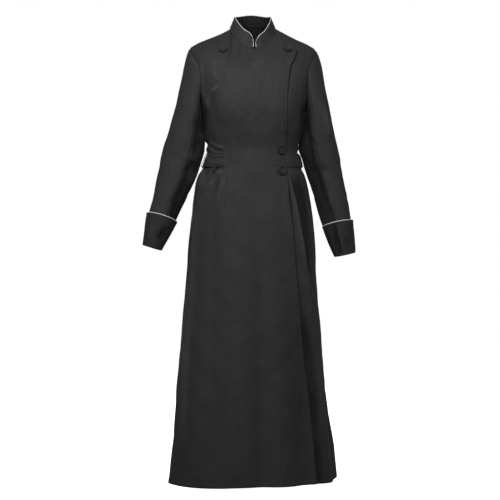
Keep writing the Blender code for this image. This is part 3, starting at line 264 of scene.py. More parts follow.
# Creases: each is a soft trough (depth below 0) or ridge along a curve through three points, seen from one
# side. The points are (across, height) on the plane of the axis, before and after its widths on two sides.
Crease = namedtuple("Crease", "name start_x start_z middle_x middle_z end_x end_z depth before after")
FRONT_CREASES = {
    "trunk": (
        ("collar pull at the right", -0.066, 0.006, -0.0665, -0.045, -0.078, -0.125, -0.0013, 0.0028, 0.006),
        ("second collar pull", -0.042, -0.034, -0.039, -0.059, -0.042, -0.090, -0.0009, 0.0024, 0.003),
        ("small collar pull", -0.020, -0.062, -0.019, -0.071, -0.021, -0.084, -0.0006, 0.0022, 0.0026),
        ("left shoulder pull", 0.158, -0.060, 0.160, -0.100, 0.150, -0.140, -0.0007, 0.005, 0.005),
        ("bust pull ridge", -0.097, -0.175, -0.136, -0.208, -0.137, -0.262, 0.0050, 0.0052, 0.005),
        ("right armhole fullness", -0.158, -0.100, -0.157, -0.170, -0.149, -0.245, 0.0020, 0.007, 0.006),
        ("bust pull hollow", -0.104, -0.192, -0.125, -0.217, -0.120, -0.245, -0.0008, 0.006, 0.005),
        ("right armpit hollow", -0.158, -0.238, -0.153, -0.284, -0.145, -0.332, -0.0026, 0.007, 0.006),
        ("left armpit hollow", 0.161, -0.215, 0.151, -0.300, 0.146, -0.385, -0.0036, 0.008, 0.005),
        ("waist bunch above", -0.139, -0.341, -0.114, -0.363, -0.080, -0.369, 0.0025, 0.006, 0.006),
        ("waist bunch between", -0.135, -0.353, -0.114, -0.373, -0.083, -0.378, -0.0015, 0.004, 0.004),
        ("waist bunch below", -0.142, -0.366, -0.120, -0.378, -0.089, -0.386, 0.0020, 0.005, 0.005),
        ("fan ridge", -0.094, -0.430, -0.119, -0.463, -0.148, -0.504, 0.0042, 0.007, 0.008),
        ("fan hollow", -0.104, -0.425, -0.118, -0.438, -0.134, -0.453, -0.0042, 0.004, 0.004),
        ("fan outer hollow", -0.132, -0.431, -0.145, -0.444, -0.160, -0.456, -0.0024, 0.003, 0.003),
        ("fan outer ridge", -0.148, -0.431, -0.160, -0.462, -0.170, -0.499, 0.0025, 0.008, 0.008),
        ("second fan ridge", -0.088, -0.452, -0.103, -0.500, -0.113, -0.556, 0.0012, 0.005, 0.007),
        ("second fan hollow", -0.099, -0.440, -0.113, -0.482, -0.123, -0.524, -0.0006, 0.005, 0.005),
        ("under the band's edge", -0.164, -0.4270, -0.122, -0.4283, -0.078, -0.4290, -0.0024, 0.0012, 0.0016),
        ("dart below the band", -0.081, -0.447, -0.083, -0.510, -0.085, -0.586, -0.0006, 0.003, 0.003),
        ("left skirt ridge", 0.108, -0.445, 0.143, -0.598, 0.174, -0.780, 0.0020, 0.005, 0.007),
        ("left skirt ridge below", 0.169, -0.685, 0.196, -0.933, 0.237, -1.324, 0.0012, 0.012, 0.016),
        ("left skirt hollow", 0.116, -0.440, 0.1535, -0.598, 0.186, -0.840, -0.0050, 0.02, 0.0032),
        ("left skirt hollow below", 0.178, -0.700, 0.203, -0.930, 0.225, -1.160, -0.0040, 0.012, 0.004),
        ("hip fan line", 0.141, -0.450, 0.153, -0.495, 0.164, -0.548, -0.0026, 0.004, 0.003),
        ("hollow beside the lap", 0.105, -0.462, 0.119, -0.530, 0.126, -0.598, -0.0008, 0.006, 0.006),
        ("first skirt wave", -0.142, -0.530, -0.148, -0.933, -0.176, -1.398, 0.0005, 0.030, 0.030),
        ("second skirt wave", -0.108, -0.499, -0.108, -0.933, -0.120, -1.398, -0.0003, 0.025, 0.025),
        ("third skirt wave", -0.046, -0.530, -0.046, -0.933, -0.039, -1.417, 0.0004, 0.028, 0.028),
        ("fourth skirt wave", 0.007, -0.499, 0.007, -0.933, 0.013, -1.417, -0.0003, 0.025, 0.030),
        ("fifth skirt wave", 0.047, -0.530, 0.047, -0.933, 0.060, -1.417, 0.0004, 0.025, 0.025),
        ("sixth skirt wave", 0.100, -0.561, 0.103, -0.933, 0.131, -1.398, -0.0002, 0.025, 0.020),
        ("thigh crease", 0.035, -0.778, 0.023, -0.809, 0.013, -0.840, -0.0005, 0.010, 0.012),
        ("chest drag ridge", 0.047, -0.071, 0.016, -0.115, -0.030, -0.158, 0.0009, 0.008, 0.010),
        ("chest drag hollow", 0.010, -0.065, -0.018, -0.108, -0.052, -0.152, -0.0004, 0.008, 0.009),
        ("right chest ridge", -0.114, -0.084, -0.120, -0.127, -0.108, -0.170, 0.0014, 0.008, 0.008),
        ("bust side hollow", -0.154, -0.220, -0.145, -0.257, -0.139, -0.300, -0.0010, 0.006, 0.006),
        ("pull under the waist button", 0.058, -0.400, 0.080, -0.405, 0.104, -0.414, 0.0009, 0.003, 0.003),
        ("second pull there", 0.062, -0.413, 0.082, -0.420, 0.102, -0.428, 0.0008, 0.003, 0.003),
        ("pull over the waist button", 0.084, -0.290, 0.092, -0.306, 0.094, -0.325, 0.0010, 0.004, 0.004),
    ),
    "sleeve": (
        ("right cap ridge", -0.197, -0.090, -0.185, -0.099, -0.173, -0.115, 0.0020, 0.006, 0.006),
        ("right armpit crumple", -0.166, -0.322, -0.154, -0.335, -0.145, -0.344, 0.0022, 0.004, 0.005),
        ("right inner fold", -0.182, -0.359, -0.173, -0.369, -0.166, -0.378, -0.0022, 0.005, 0.005),
        ("right elbow hollow", -0.179, -0.406, -0.194, -0.434, -0.207, -0.456, -0.0028, 0.011, 0.010),
        ("right elbow ridge", -0.172, -0.440, -0.189, -0.466, -0.213, -0.490, 0.0013, 0.007, 0.009),
        ("right under sleeve upper", -0.165, -0.262, -0.168, -0.330, -0.183, -0.400, -0.0030, 0.012, 0.014),
        ("right under sleeve lower", -0.184, -0.395, -0.215, -0.490, -0.266, -0.640, -0.0034, 0.012, 0.014),
        ("left under sleeve upper", 0.158, -0.225, 0.172, -0.345, 0.190, -0.460, -0.0034, 0.01, 0.01),
        ("left under sleeve lower", 0.184, -0.400, 0.213, -0.502, 0.268, -0.655, -0.0038, 0.013, 0.014),
        ("right forearm hollow", -0.222, -0.500, -0.240, -0.524, -0.262, -0.540, -0.0010, 0.010, 0.010),
        ("right outer elbow hollow", -0.262, -0.370, -0.250, -0.392, -0.236, -0.406, -0.0006, 0.010, 0.010),
        ("left sleeve outer ridge", 0.215, -0.214, 0.230, -0.288, 0.243, -0.344, 0.0026, 0.008, 0.010),
        ("left sleeve outer hollow", 0.226, -0.220, 0.243, -0.280, 0.252, -0.330, -0.0016, 0.008, 0.008),
        ("left inner fold", 0.178, -0.330, 0.190, -0.352, 0.206, -0.366, -0.0012, 0.007, 0.007),
        ("left elbow hollow", 0.204, -0.412, 0.219, -0.430, 0.236, -0.440, -0.0014, 0.009, 0.010),
        ("left elbow ridge", 0.210, -0.446, 0.228, -0.462, 0.248, -0.470, 0.0009, 0.008, 0.009),
        ("left forearm ridge", 0.234, -0.508, 0.240, -0.524, 0.243, -0.544, 0.0012, 0.007, 0.007),
    ),
    "collar": (
        ("collar shade", 0.012, -0.046, 0.044, -0.014, 0.062, 0.026, -0.0009, 0.018, 0.022),
    ),
    "cuff": (
        ("right cuff hollow", -0.266, -0.606, -0.281, -0.635, -0.300, -0.662, -0.0022, 0.011, 0.01),
        ("right cuff ridge", -0.306, -0.606, -0.316, -0.630, -0.322, -0.664, 0.0014, 0.007, 0.006),
        ("left cuff ridge", 0.264, -0.600, 0.272, -0.648, 0.282, -0.700, 0.0014, 0.004, 0.008),
        ("left cuff inner hollow", 0.246, -0.590, 0.257, -0.650, 0.268, -0.715, -0.0036, 0.009, 0.008),
        ("left cuff hollow", 0.288, -0.640, 0.294, -0.660, 0.297, -0.684, -0.0010, 0.008, 0.006),
    ),
    "band": (
        ("band wrinkle above", -0.146, -0.396, -0.118, -0.400, -0.092, -0.399, -0.0008, 0.003, 0.003),
        ("band wrinkle middle", -0.150, -0.408, -0.125, -0.413, -0.096, -0.411, 0.0008, 0.003, 0.003),
        ("band wrinkle below", -0.140, -0.420, -0.116, -0.423, -0.090, -0.420, -0.0009, 0.003, 0.003),
    ),
}
BACK_CREASES = {
    "trunk": (
        ("right blade hollow", 0.060, -0.110, 0.105, -0.190, 0.135, -0.275, -0.0011, 0.016, 0.012),
        ("left blade hollow", -0.055, -0.115, -0.100, -0.185, -0.138, -0.262, -0.0010, 0.014, 0.014),
        ("small of the back pull", -0.085, -0.352, -0.010, -0.366, 0.070, -0.350, 0.0012, 0.008, 0.010),
        ("upper back pull", -0.070, -0.322, 0.005, -0.333, 0.080, -0.318, -0.0009, 0.009, 0.009),
        ("right armhole pull", 0.150, -0.235, 0.118, -0.262, 0.070, -0.280, 0.0011, 0.008, 0.008),
        ("left armhole pull", -0.150, -0.228, -0.112, -0.256, -0.075, -0.262, 0.0012, 0.008, 0.007),
        ("nape crease", -0.050, -0.020, 0.002, -0.034, 0.055, -0.022, -0.0007, 0.006, 0.008),
        ("first back wave", 0.105, -0.470, 0.130, -0.900, 0.170, -1.390, 0.0034, 0.022, 0.026),
        ("second back wave", 0.062, -0.460, 0.075, -0.900, 0.098, -1.400, -0.0028, 0.018, 0.022),
        ("third back wave", 0.020, -0.470, 0.022, -0.930, 0.040, -1.400, 0.0030, 0.018, 0.022),
        ("fourth back wave", -0.028, -0.455, -0.034, -0.880, -0.020, -1.400, -0.0026, 0.018, 0.018),
        ("fifth back wave", -0.066, -0.470, -0.085, -0.900, -0.102, -1.400, 0.0032, 0.018, 0.024),
        ("sixth back wave", -0.118, -0.460, -0.146, -0.900, -0.182, -1.390, -0.0026, 0.022, 0.020),
    ),
    "sleeve": (
        ("right elbow back fold", 0.236, -0.372, 0.222, -0.392, 0.196, -0.386, 0.0010, 0.008, 0.008),
        ("right elbow back hollow", 0.234, -0.398, 0.220, -0.414, 0.192, -0.410, -0.0010, 0.008, 0.008),
        ("left elbow back fold", -0.238, -0.380, -0.226, -0.396, -0.198, -0.388, 0.0010, 0.008, 0.008),
        ("left elbow back hollow", -0.240, -0.404, -0.228, -0.422, -0.200, -0.416, -0.0010, 0.008, 0.008),
        ("right upper arm drape", 0.170, -0.150, 0.190, -0.230, 0.196, -0.310, -0.0022, 0.012, 0.010),
        ("left upper arm drape", -0.168, -0.150, -0.190, -0.224, -0.198, -0.300, -0.0022, 0.010, 0.012),
    ),
    "band": (
        ("band wrinkle behind", -0.060, -0.404, -0.010, -0.411, 0.050, -0.407, -0.0006, 0.004, 0.004),
    ),
}
SIDE_CREASES = {
    "trunk": (
        ("first side wave", -0.045, -0.470, -0.052, -0.900, -0.080, -1.390, 0.0045, 0.016, 0.020),
        ("second side wave", 0.000, -0.480, 0.000, -0.930, 0.010, -1.390, -0.0030, 0.018, 0.018),
        ("third side wave", 0.050, -0.470, 0.066, -0.900, 0.098, -1.390, 0.0045, 0.018, 0.018),
        ("side waist pull", -0.060, -0.352, 0.000, -0.366, 0.055, -0.350, 0.0022, 0.007, 0.008),
        ("side waist hollow", -0.055, -0.336, 0.005, -0.350, 0.060, -0.334, -0.0018, 0.007, 0.007),
    ),
    "sleeve": (
        ("outer elbow fold", -0.030, -0.372, 0.004, -0.390, 0.040, -0.380, 0.0004, 0.009, 0.008),
        ("outer elbow hollow", -0.034, -0.396, 0.004, -0.414, 0.044, -0.404, -0.0004, 0.008, 0.009),
        ("outer arm drape", 0.022, -0.130, 0.014, -0.210, 0.026, -0.300, -0.0018, 0.012, 0.010),
        ("outer forearm fold", -0.040, -0.500, -0.010, -0.520, 0.026, -0.516, -0.0006, 0.009, 0.009),
    ),
}
CREASE_VIEWS = ((-4.5, FRONT_CREASES), (180.0, BACK_CREASES), (90.0, SIDE_CREASES), (-90.0, SIDE_CREASES))
CREASE_SAMPLES = 24
CREASE_REACH = 3         # widths beside its curve, past which a crease moves nothing
CREASE_TAPER = 0.30      # share of its length over which each end fades
CREASE_GAIN = 1.7
CREASE_WAVER = Waver(0.22, 9, 1.7)     # how uneven a crease is along its length
CREASE_FACING = 0.45     # how squarely cloth faces the view for the whole crease

# Small swells all over the cloth: waves in space, each with its length, its size and its way.
Swell = namedtuple("Swell", "length size way phase")
SWELLS = (
    Swell(0.210, 0.0011, (0.8, 0.4, 0.35), 0.4), Swell(0.135, 0.0008, (-0.5, 0.7, 0.45), 2.1),
    Swell(0.083, 0.0005, (0.6, -0.3, 0.70), 4.0), Swell(0.052, 0.00028, (0.3, 0.9, -0.50), 1.3),
    Swell(0.031, 0.00012, (-0.7, 0.2, 0.60), 5.2),
)

# Camera
CAMERA_DISTANCE, FRAME_WIDTH, SENSOR = 5.0, 1.55, 36.0
CAMERA_TURN, CAMERA_HEIGHT, CAMERA_ASIDE = -4.5, -0.685, -0.0084

# Studio
WHITE = (1.0, 1.0, 1.0)
FLOOR_Z, FLOOR_HALF, FLOOR_GLOW = -1.44, 6.0, 1.0
FLOOR_COLOUR, FLOOR_ROUGHNESS = (0.90, 0.90, 0.90), 0.8
WORLD_LIGHT, BACKDROP = 0.11, 1.0
Lamp = namedtuple("Lamp", "name place target width height watts")
LAMPS = (
    Lamp("key", (-0.28, -1.55, 0.74), (0.0, 0.0, -0.35), 2.0, 0.4, 28.5),
    Lamp("right side", (-2.4, -0.9, 0.30), (-0.2, 0.0, -0.30), 0.7, 0.9, 7.0),
    Lamp("left side", (2.4, -0.9, 0.30), (0.2, 0.0, -0.30), 0.7, 0.9, 4.5),
    Lamp("fill", (0.1, -2.6, -1.1), (0.0, 0.0, -1.1), 2.6, 0.6, 9.0),
    Lamp("back", (0.0, 3.2, 0.7), (0.0, 0.0, -0.5), 1.6, 1.6, 85.0),
)

# Finishes: the cloth's colour, its thread's, and how much each pattern shows.
ClothLook = namedtuple("ClothLook", "colour light dark roughness sheen weave grain mottle wear")
CLOTHS = {
    "coat_cloth": ClothLook((0.032, 0.032, 0.0323), 1.22, 0.80, 0.66, 0.03, 0.45, 0.40, 0.55, 0.12),
    "cuff_cloth": ClothLook((0.025, 0.025, 0.0253), 1.22, 0.80, 0.70, 0.03, 0.50, 0.40, 0.55, 0.12),
}
Relief = namedtuple("Relief", "depth strength")
Look = namedtuple("Look", "colour dark light rough_spread rough relief")
PIPING = Look((0.86, 0.86, 0.84), 0.97, 1.0, 0.15, 0.52, Relief(0.00018, 0.6))
THREAD = Look((0.050, 0.050, 0.052), 0.7, 1.0, 0.2, 0.5, Relief(0.0001, 0.4))
BUTTON = Look((0.030, 0.030, 0.031), 0.75, 1.3, 0.20, 0.48, Relief(0.00008, 0.35))
RIB_COLOUR, RIB_SHARE, PIPING_SHEEN = (0.90, 0.90, 0.89), 0.35, 0.15
# painted shade on a button's rim, dish line and middle: how far it goes, and its dark tint
RIM_SHADE_SHARE, RIM_SHADE_TINT, BUTTON_SPECULAR = 0.95, 0.08, 0.25
WARP_SHARE, SLUB_SHARE = 0.45, 0.65      # the twill and the pick have the rest
WEAVE_DARK, WORN_LIGHT = 0.80, 2.4       # times the cloth's colour
THREAD_GLOSS, WORN_GLOSS = 0.16, 0.20    # how far the threads and the wear change the roughness
WEAVE_RELIEF, SLUB_DEPTH = Relief(0.00016, 0.5), 0.00030
CLOTH_SPECULAR, SHEEN_ROUGHNESS = 0.20, 0.45
# painted shade on the inside faces of the cloth, less of it on the rounded edges; the same dark colour is the
# painted shade of fold hollows
PAINTED_SHADE_COLOUR, INSIDE_PAINTED_SHADE, INSIDE_SHADE_AT_EDGES = (0.004, 0.004, 0.0042), 0.66, 0.4
SHEEN_TINT = (0.9, 0.92, 1.0)
# painted shade in the hollows of folds and painted highlight on their crests, as deep as each fold: the depth
# at which they are full, how far each goes, and the highlight's tint
FOLD_RELIEF = 0.0036     # the depth of fold at which its shade is full
HOLLOW_SHADE, CREST_HIGHLIGHT_SHARE, CREST_HIGHLIGHT_TINT = 0.70, 0.40, 2.0
WEAVE_PITCH, TWILL_PITCH, RIB_PITCH = 0.0011, 0.00176, 0.0013
WAVE_LENGTH_AT_SCALE_ONE = 0.3142     # what Blender's wave texture repeats over
WAVE_UNEVENNESS = {"Distortion": 0.6, "Detail": 1.0, "Detail Scale": 0.6}
Noise = namedtuple("Noise", "stretch scale detail roughness")
SLUB, PICK = Noise((330.0, 16.0, 1.0), 1.0, 4.0, 0.62), Noise((24.0, 420.0, 1.0), 1.0, 2.0, 0.5)
MOTTLE, SOIL = Noise(None, 11.0, 4.0, 0.6), Noise(None, 60.0, 3.0, 0.55)
TWIST = Noise(None, 1500.0, 1.0, 0.55)
MARBLE, SCRATCH = Noise(None, 260.0, 5.0, 0.65), Noise((2200.0, 300.0, 500.0), 1.0, 2.0, 0.55)
RUMPLES = (
    (Noise((1.0, 1.0, 0.45), 26.0, 2.5, 0.5), Relief(0.0080, 0.8)),
    (Noise((1.0, 1.0, 0.6), 75.0, 2.5, 0.5), Relief(0.0016, 0.8)),
)

# Stitches
STITCH_LENGTH, STITCH_RADIUS, STITCH_SPACING = 0.0021, 0.00022, 0.0031
STITCH_SHAPE = ((-0.5, 0.25), (-0.36, 0.8), (0.0, 1.0), (0.36, 0.8), (0.5, 0.25))   # place and thickness
STITCH_SIDES, STITCH_SEED = 6, 7
STITCH_SIZES = (0.86, 1.10)
STITCH_LIFT = 0.00005

# Cut of each sheet in the flat: width, length and area in metres.
SheetCut = namedtuple("SheetCut", "width length area held")
SHEETS = {
    "front": SheetCut(0.60, 1.46, 0.59, "hung"),
    "back": SheetCut(0.80, 1.50, 0.82, "hung"),
    "sleeve_top": SheetCut(0.26, 0.66, 0.118, "hung"),
    "sleeve_under": SheetCut(0.18, 0.50, 0.063, "hung"),
    "cuff": SheetCut(0.31, 0.083, None, "folded"),
    "loop": SheetCut(0.013, 0.06, None, "stretched"),
    "collar": SheetCut(0.40, 0.042, None, "folded"),
    "band": SheetCut(0.70, 0.042, None, "stretched"),
}


# Curves, and the trunk's surface

def track(places, values):
    """A smooth curve through values at rising places, which never overshoots between two of them."""
    x, y = np.array(places, float), np.array(values, float)
    run = np.diff(x)
    rise = np.diff(y) / run
    same_way = rise[:-1] * rise[1:] > 0
    weight_before = 2 * run[1:] + run[:-1]
    weight_after = run[1:] + 2 * run[:-1]
    safe_before = np.where(same_way, rise[:-1], 1.0)
    safe_after = np.where(same_way, rise[1:], 1.0)
    mean = (weight_before + weight_after) / (weight_before / safe_before + weight_after / safe_after)
    slope = np.concatenate([rise[:1], np.where(same_way, mean, 0.0), rise[-1:]])

    def value_at(place):
        place = np.clip(place, x[0], x[-1])
        part = np.clip(np.searchsorted(x, place, side="right") - 1, 0, len(run) - 1)
        share = (place - x[part]) / run[part]
        ease = share * share * (3 - 2 * share)
        leave = share * (1 - share) ** 2 * run[part]
        arrive = share * share * (share - 1) * run[part]
        return y[part] * (1 - ease) + y[part + 1] * ease + slope[part] * leave + slope[part + 1] * arrive

    return value_at


def tracks(table):
    """A curve for each column of a table, over its first column."""
    places, *columns = zip(*table)
    return [track(places, column) for column in columns]


RING_TRACKS = dict(zip(Ring._fields[2:], tracks([ring[1:] for ring in RINGS])))
LAP_REACH, = tracks(LAP_REACH_TABLE)
LAP_STAND, = tracks(LAP_STAND_TABLE)
BAND_LIFT, = tracks(BAND_LIFT_TABLE)
TROUGH_WIDTH, TROUGH_DEPTH = tracks(LAP_TROUGH_TABLE)


def smooth_step(value):
    value = np.clip(value, 0, 1)
    return value * value * (3 - 2 * value)


def bell(distance, width):
    return np.exp(-(distance / width) ** 2)


def wavering(waver, place, turns=1):
    """A factor that wavers about one along a line."""
    return 1 + waver.share * np.sin(place * waver.rate + turns * waver.phase)


def unit(vectors):
    return vectors / np.maximum(np.linalg.norm(vectors, axis=-1, keepdims=True), 1e-12)


def angle_apart(angle, other):
    return (np.degrees(angle) - other + 180) % 360 - 180


def fold_depth(angle, height):
    """How far the folds and the bust push the trunk's cloth out at an angle and a side height."""
    total = np.zeros(np.broadcast(angle, height).shape)
    for fold in FOLDS:
        down = np.clip((fold.top - height) / (fold.top - HEM), 0, 1)
        middle = fold.angle_top + (fold.angle_hem - fold.angle_top) * down ** FOLD_BEND
        grown = smooth_step((fold.top - height) / (fold.top - fold.full))
        past = smooth_step((fold.full - height) / (fold.full - fold.fade))
        size = fold.depth * grown * (1 + (fold.rest - 1) * past)
        total = total + size * bell(angle_apart(angle, middle), fold.width)
    bust = BUST_FULLNESS * bell(height - BUST_HEIGHT, BUST_RISE)
    return total + sum(bust * bell(angle_apart(angle, side * BUST_ANGLE), BUST_SPREAD) for _, side in SIDES)


def trunk_skin(angle, height):
    """Points of the trunk's surface. Angle is in radians, height is that of the ring at the side."""
    angle, height = np.broadcast_arrays(np.asarray(angle, float), np.asarray(height, float))
    ring = {column: value_at(height) for column, value_at in RING_TRACKS.items()}
    in_front = np.cos(angle) >= 0
    depth = np.where(in_front, ring["front_depth"], ring["back_depth"])
    far_z = np.where(in_front, ring["front_z"], ring["back_z"])
    power = ring["squareness"]
    across = np.abs(np.sin(angle)) / ring["half_width"]
    along = np.abs(np.cos(angle)) / depth
    plain = (across ** power + along ** power) ** (-1 / power)
    radius = plain + fold_depth(angle, height)
    z = height + (far_z - height) * np.clip(plain * along, 0, 1) ** RING_SLANT
    return np.stack([radius * np.sin(angle), -radius * np.cos(angle), z], axis=-1)


def trunk_normal(angle, height):
    low = np.maximum(np.asarray(height, float) - SKIN_CLIMB, HEM)
    high = np.minimum(np.asarray(height, float) + SKIN_CLIMB, 0.0)
    round_ = trunk_skin(angle + SKIN_TURN, height) - trunk_skin(angle - SKIN_TURN, height)
    return unit(np.cross(round_, trunk_skin(angle, high) - trunk_skin(angle, low)))


def angle_of_reach(reach, height):
    """The angle at which the front lies this far from the centre, by halving."""
    low = np.zeros(np.broadcast(reach, height).shape)
    high = np.full(low.shape, pi / 2)
    for _ in range(HALVINGS):
        middle = (low + high) / 2
        beyond = trunk_skin(middle, height)[..., 0] > np.abs(reach)
        high = np.where(beyond, middle, high)
        low = np.where(beyond, low, middle)
    return np.sign(reach) * (low + high) / 2


def lap_angle(heights):
    """The angle of the lap's edge at each side height. Above its corner it stays at that of the corner."""
    return angle_of_reach(LAP_REACH(heights), np.minimum(heights, LAP_CORNER))


# Grids of points

def grid_normals(points, closed, outward=None):
    """Normals of a grid of points, on the side that outward points to, or else off the middle of each row."""
    if outward is None:
        outward = points - points.mean(axis=1, keepdims=True)
    if closed:
        round_ = np.roll(points, -1, axis=1) - np.roll(points, 1, axis=1)
    else:
        round_ = np.gradient(points, axis=1)
    normals = unit(np.cross(round_, np.gradient(points, axis=0)))
    return -normals if (normals * outward).sum() < 0 else normals


def travelled(points, axis):
    """How far along its column (axis 0) or its row (axis 1) each point of a grid lies."""
    steps = np.linalg.norm(np.diff(points, axis=axis), axis=-1)
    return np.insert(np.cumsum(steps, axis=axis), 0, 0.0, axis=axis)


def edge_distance(points, edge):
    """How far each point of a grid lies from one of its edges, along its row or its column."""
    far = travelled(points, 1 if edge in ("first", "last") else 0)
    return {"first": far, "bottom": far, "last": far[:, -1:] - far, "top": far[-1:] - far}[edge]


def joined(grid):
    """A grid with its first column again as its last."""
    return np.concatenate([grid, grid[:, :1]], axis=1)


def full_turn(count):
    return 2 * pi * np.arange(count) / count


def rings_round(middles, first, second, wide, deep, count):
    """Rings of points round middles: each starts where first points to and turns towards second."""
    turn = full_turn(count)[:, None]
    wide, deep = (np.reshape(size, (-1, 1, 1)) for size in (wide, deep))
    middles, first, second = (np.reshape(way, (-1, 1, 3)) for way in (middles, first, second))
    return middles + first * wide * np.cos(turn) + second * deep * np.sin(turn)


def quads(grid):
    """The four corners of every square of a grid of numbers or places, in turn."""
    corners = np.stack([grid[:-1, :-1], grid[:-1, 1:], grid[1:, 1:], grid[1:, :-1]], axis=2)
    return corners.reshape(-1, 4, *grid.shape[2:])


def ring_faces(count, sides, closed=False):
    """Squares between rings of points, and two end faces, unless the last ring meets the first."""
    spots = np.arange(count * sides).reshape(count, sides)
    if closed:
        return quads(np.concatenate([joined(spots), joined(spots)[:1]])), []
    return quads(joined(spots)), [spots[0, ::-1], spots[-1]]


# Creases, swells and seams

def seen(points, turn):
    """Points as (across, height), as a camera that far round sees them, and its way of looking."""
    turn = radians(turn)
    across = np.array([cos(turn), sin(turn), 0.0])
    looking = np.array([-sin(turn), cos(turn), 0.0])
    nearer = CAMERA_DISTANCE / (CAMERA_DISTANCE + points @ looking)
    height = CAMERA_HEIGHT + (points[..., 2] - CAMERA_HEIGHT) * nearer
    return np.stack([points @ across * nearer, height], axis=-1), looking


def crease_push(flat, crease, number):
    """How far one crease moves each seen point."""
    share = np.linspace(0, 1, CREASE_SAMPLES)[:, None]
    start, middle, end = np.reshape(crease[1:7], (3, 2))
    curve = start * (2 * share - 1) * (share - 1) + end * share * (2 * share - 1)
    curve += middle * 4 * share * (1 - share)
    way = unit(np.gradient(curve, axis=0))
    step = np.linalg.norm(np.diff(curve, axis=0), axis=1).mean()
    reach = CREASE_REACH * max(crease.before, crease.after)
    near = np.all((flat > curve.min(0) - reach) & (flat < curve.max(0) + reach), axis=-1)
    push = np.zeros(flat.shape[:-1])
    picked = flat[near]
    if len(picked) == 0:
        return push
    nearest = ((picked[:, None, :] - curve[None]) ** 2).sum(axis=-1).argmin(axis=1)
    offset = picked - curve[nearest]
    line = way[nearest]
    along = (nearest + (offset * line).sum(axis=1) / step) / (CREASE_SAMPLES - 1)
    aside = line[:, 0] * offset[:, 1] - line[:, 1] * offset[:, 0]
    ends = smooth_step(np.minimum(along, 1 - along) / CREASE_TAPER)
    size = crease.depth * CREASE_GAIN * ends * wavering(CREASE_WAVER, along, number)
    push[near] = size * bell(aside, np.where(aside > 0, crease.before, crease.after))
    return push


def creased(points, normals, on):
    """How far the creases of one sub-part move each point of its grid."""
    total = np.zeros(points.shape[:2])
    for turn, table in CREASE_VIEWS:
        flat, looking = seen(points, turn)
        facing = smooth_step(-(normals @ looking) / CREASE_FACING)
        rows = [(owner, row) for owner, owned in table.items() for row in owned]
        for number, (owner, row) in enumerate(rows):
            if owner == on:
                total += crease_push(flat, Crease(*row), number + turn) * facing
    return total


def folded(points, normals, folds, lift=0.0, swells=SWELLS):
    """Points moved out by their folds, by a lift of their own and by the cloth's small uneven swells."""
    swelled = sum(
        swell.size * np.sin(points @ unit(np.array(swell.way)) * 2 * pi / swell.length + swell.phase)
        for swell in swells
    )
    return points + normals * (folds + swelled + lift)[..., None]


def seam_line(distance):
    """The dip of a seam and the slight puff beside it."""
    puff = SEAM_PUFF * bell(distance - SEAM_PUFF_OFFSET, SEAM_PUFF_WIDTH)
    return puff - SEAM_DIP * bell(distance, SEAM_WIDTH)


def stitched_line(distance, line=STITCH_LINE):
    return -STITCH_DIP * bell(distance - line, STITCH_DIP_WIDTH)


# Meshes

def link(name, mesh):
    made = bpy.data.objects.new(name, mesh)
    bpy.context.scene.collection.objects.link(made)
    return made


def add_value(piece, name, *values):
    """Stores one number for each point of a piece, for its material."""
    attribute = piece.data.attributes.new(name, "FLOAT", "POINT")
    numbers = np.concatenate([np.ravel(part) for part in values])
    attribute.data.foreach_set("value", numbers.astype(np.float32))


def add_mesh(name, points, faces, finish, weave=None):
    """A smooth-shaded mesh with sharp edges kept. weave is where each face's corners lie on the weave."""
    mesh = bpy.data.meshes.new(name)
    mesh.from_pydata(np.reshape(points, (-1, 3)).tolist(), [], faces)
    mesh.materials.append(bpy.data.materials[finish])
    if weave is not None:
        mesh.uv_layers.new(name="weave").data.foreach_set("uv", weave.astype(np.float32).ravel())
    mesh.update()
    smooth(mesh, SHARP_ANGLE)
    return link(name, mesh)


def smooth(mesh, sharp):
    mesh.shade_smooth()
    mesh.set_sharp_from_angle(angle=radians(sharp))


def add_solid(name, points, squares, finish, weave=None, ends=(), end_weaves=()):
    """A closed mesh of squares and end faces, turned round where the squares' volume comes out below zero."""
    points = np.reshape(points, (-1, 3))
    first, second, third, fourth = points[squares].swapaxes(0, 1)
    volume = (first * (np.cross(second, third) + np.cross(third, fourth))).sum()
    way = -1 if volume < 0 else 1
    faces = squares[:, ::way].tolist() + [end[::way].tolist() for end in ends]
    if weave is not None:
        weave = np.concatenate([weave[:, ::way].reshape(-1, 2), *end_weaves])
    return add_mesh(name, points, faces, finish, weave)


def steps_off(outer, closed):
    """Unit steps off a grid's edges, away from the row or column inside them."""
    away = np.zeros_like(outer)
    away[0] += unit(outer[0] - outer[1])
    away[-1] += unit(outer[-1] - outer[-2])
    if not closed:
        away[:, 0] += unit(outer[:, 0] - outer[:, 1])
        away[:, -1] += unit(outer[:, -1] - outer[:, -2])
    return unit(away)


def edge_loops(grid, closed):
    """A grid's values round its edges. Each loop ends on the value that it begins with."""
    if closed:
        return [grid[0], grid[-1, ::-1]]
    return [np.concatenate([grid[0], grid[1:, -1], grid[-1, -2::-1], grid[-2::-1, 0]])]


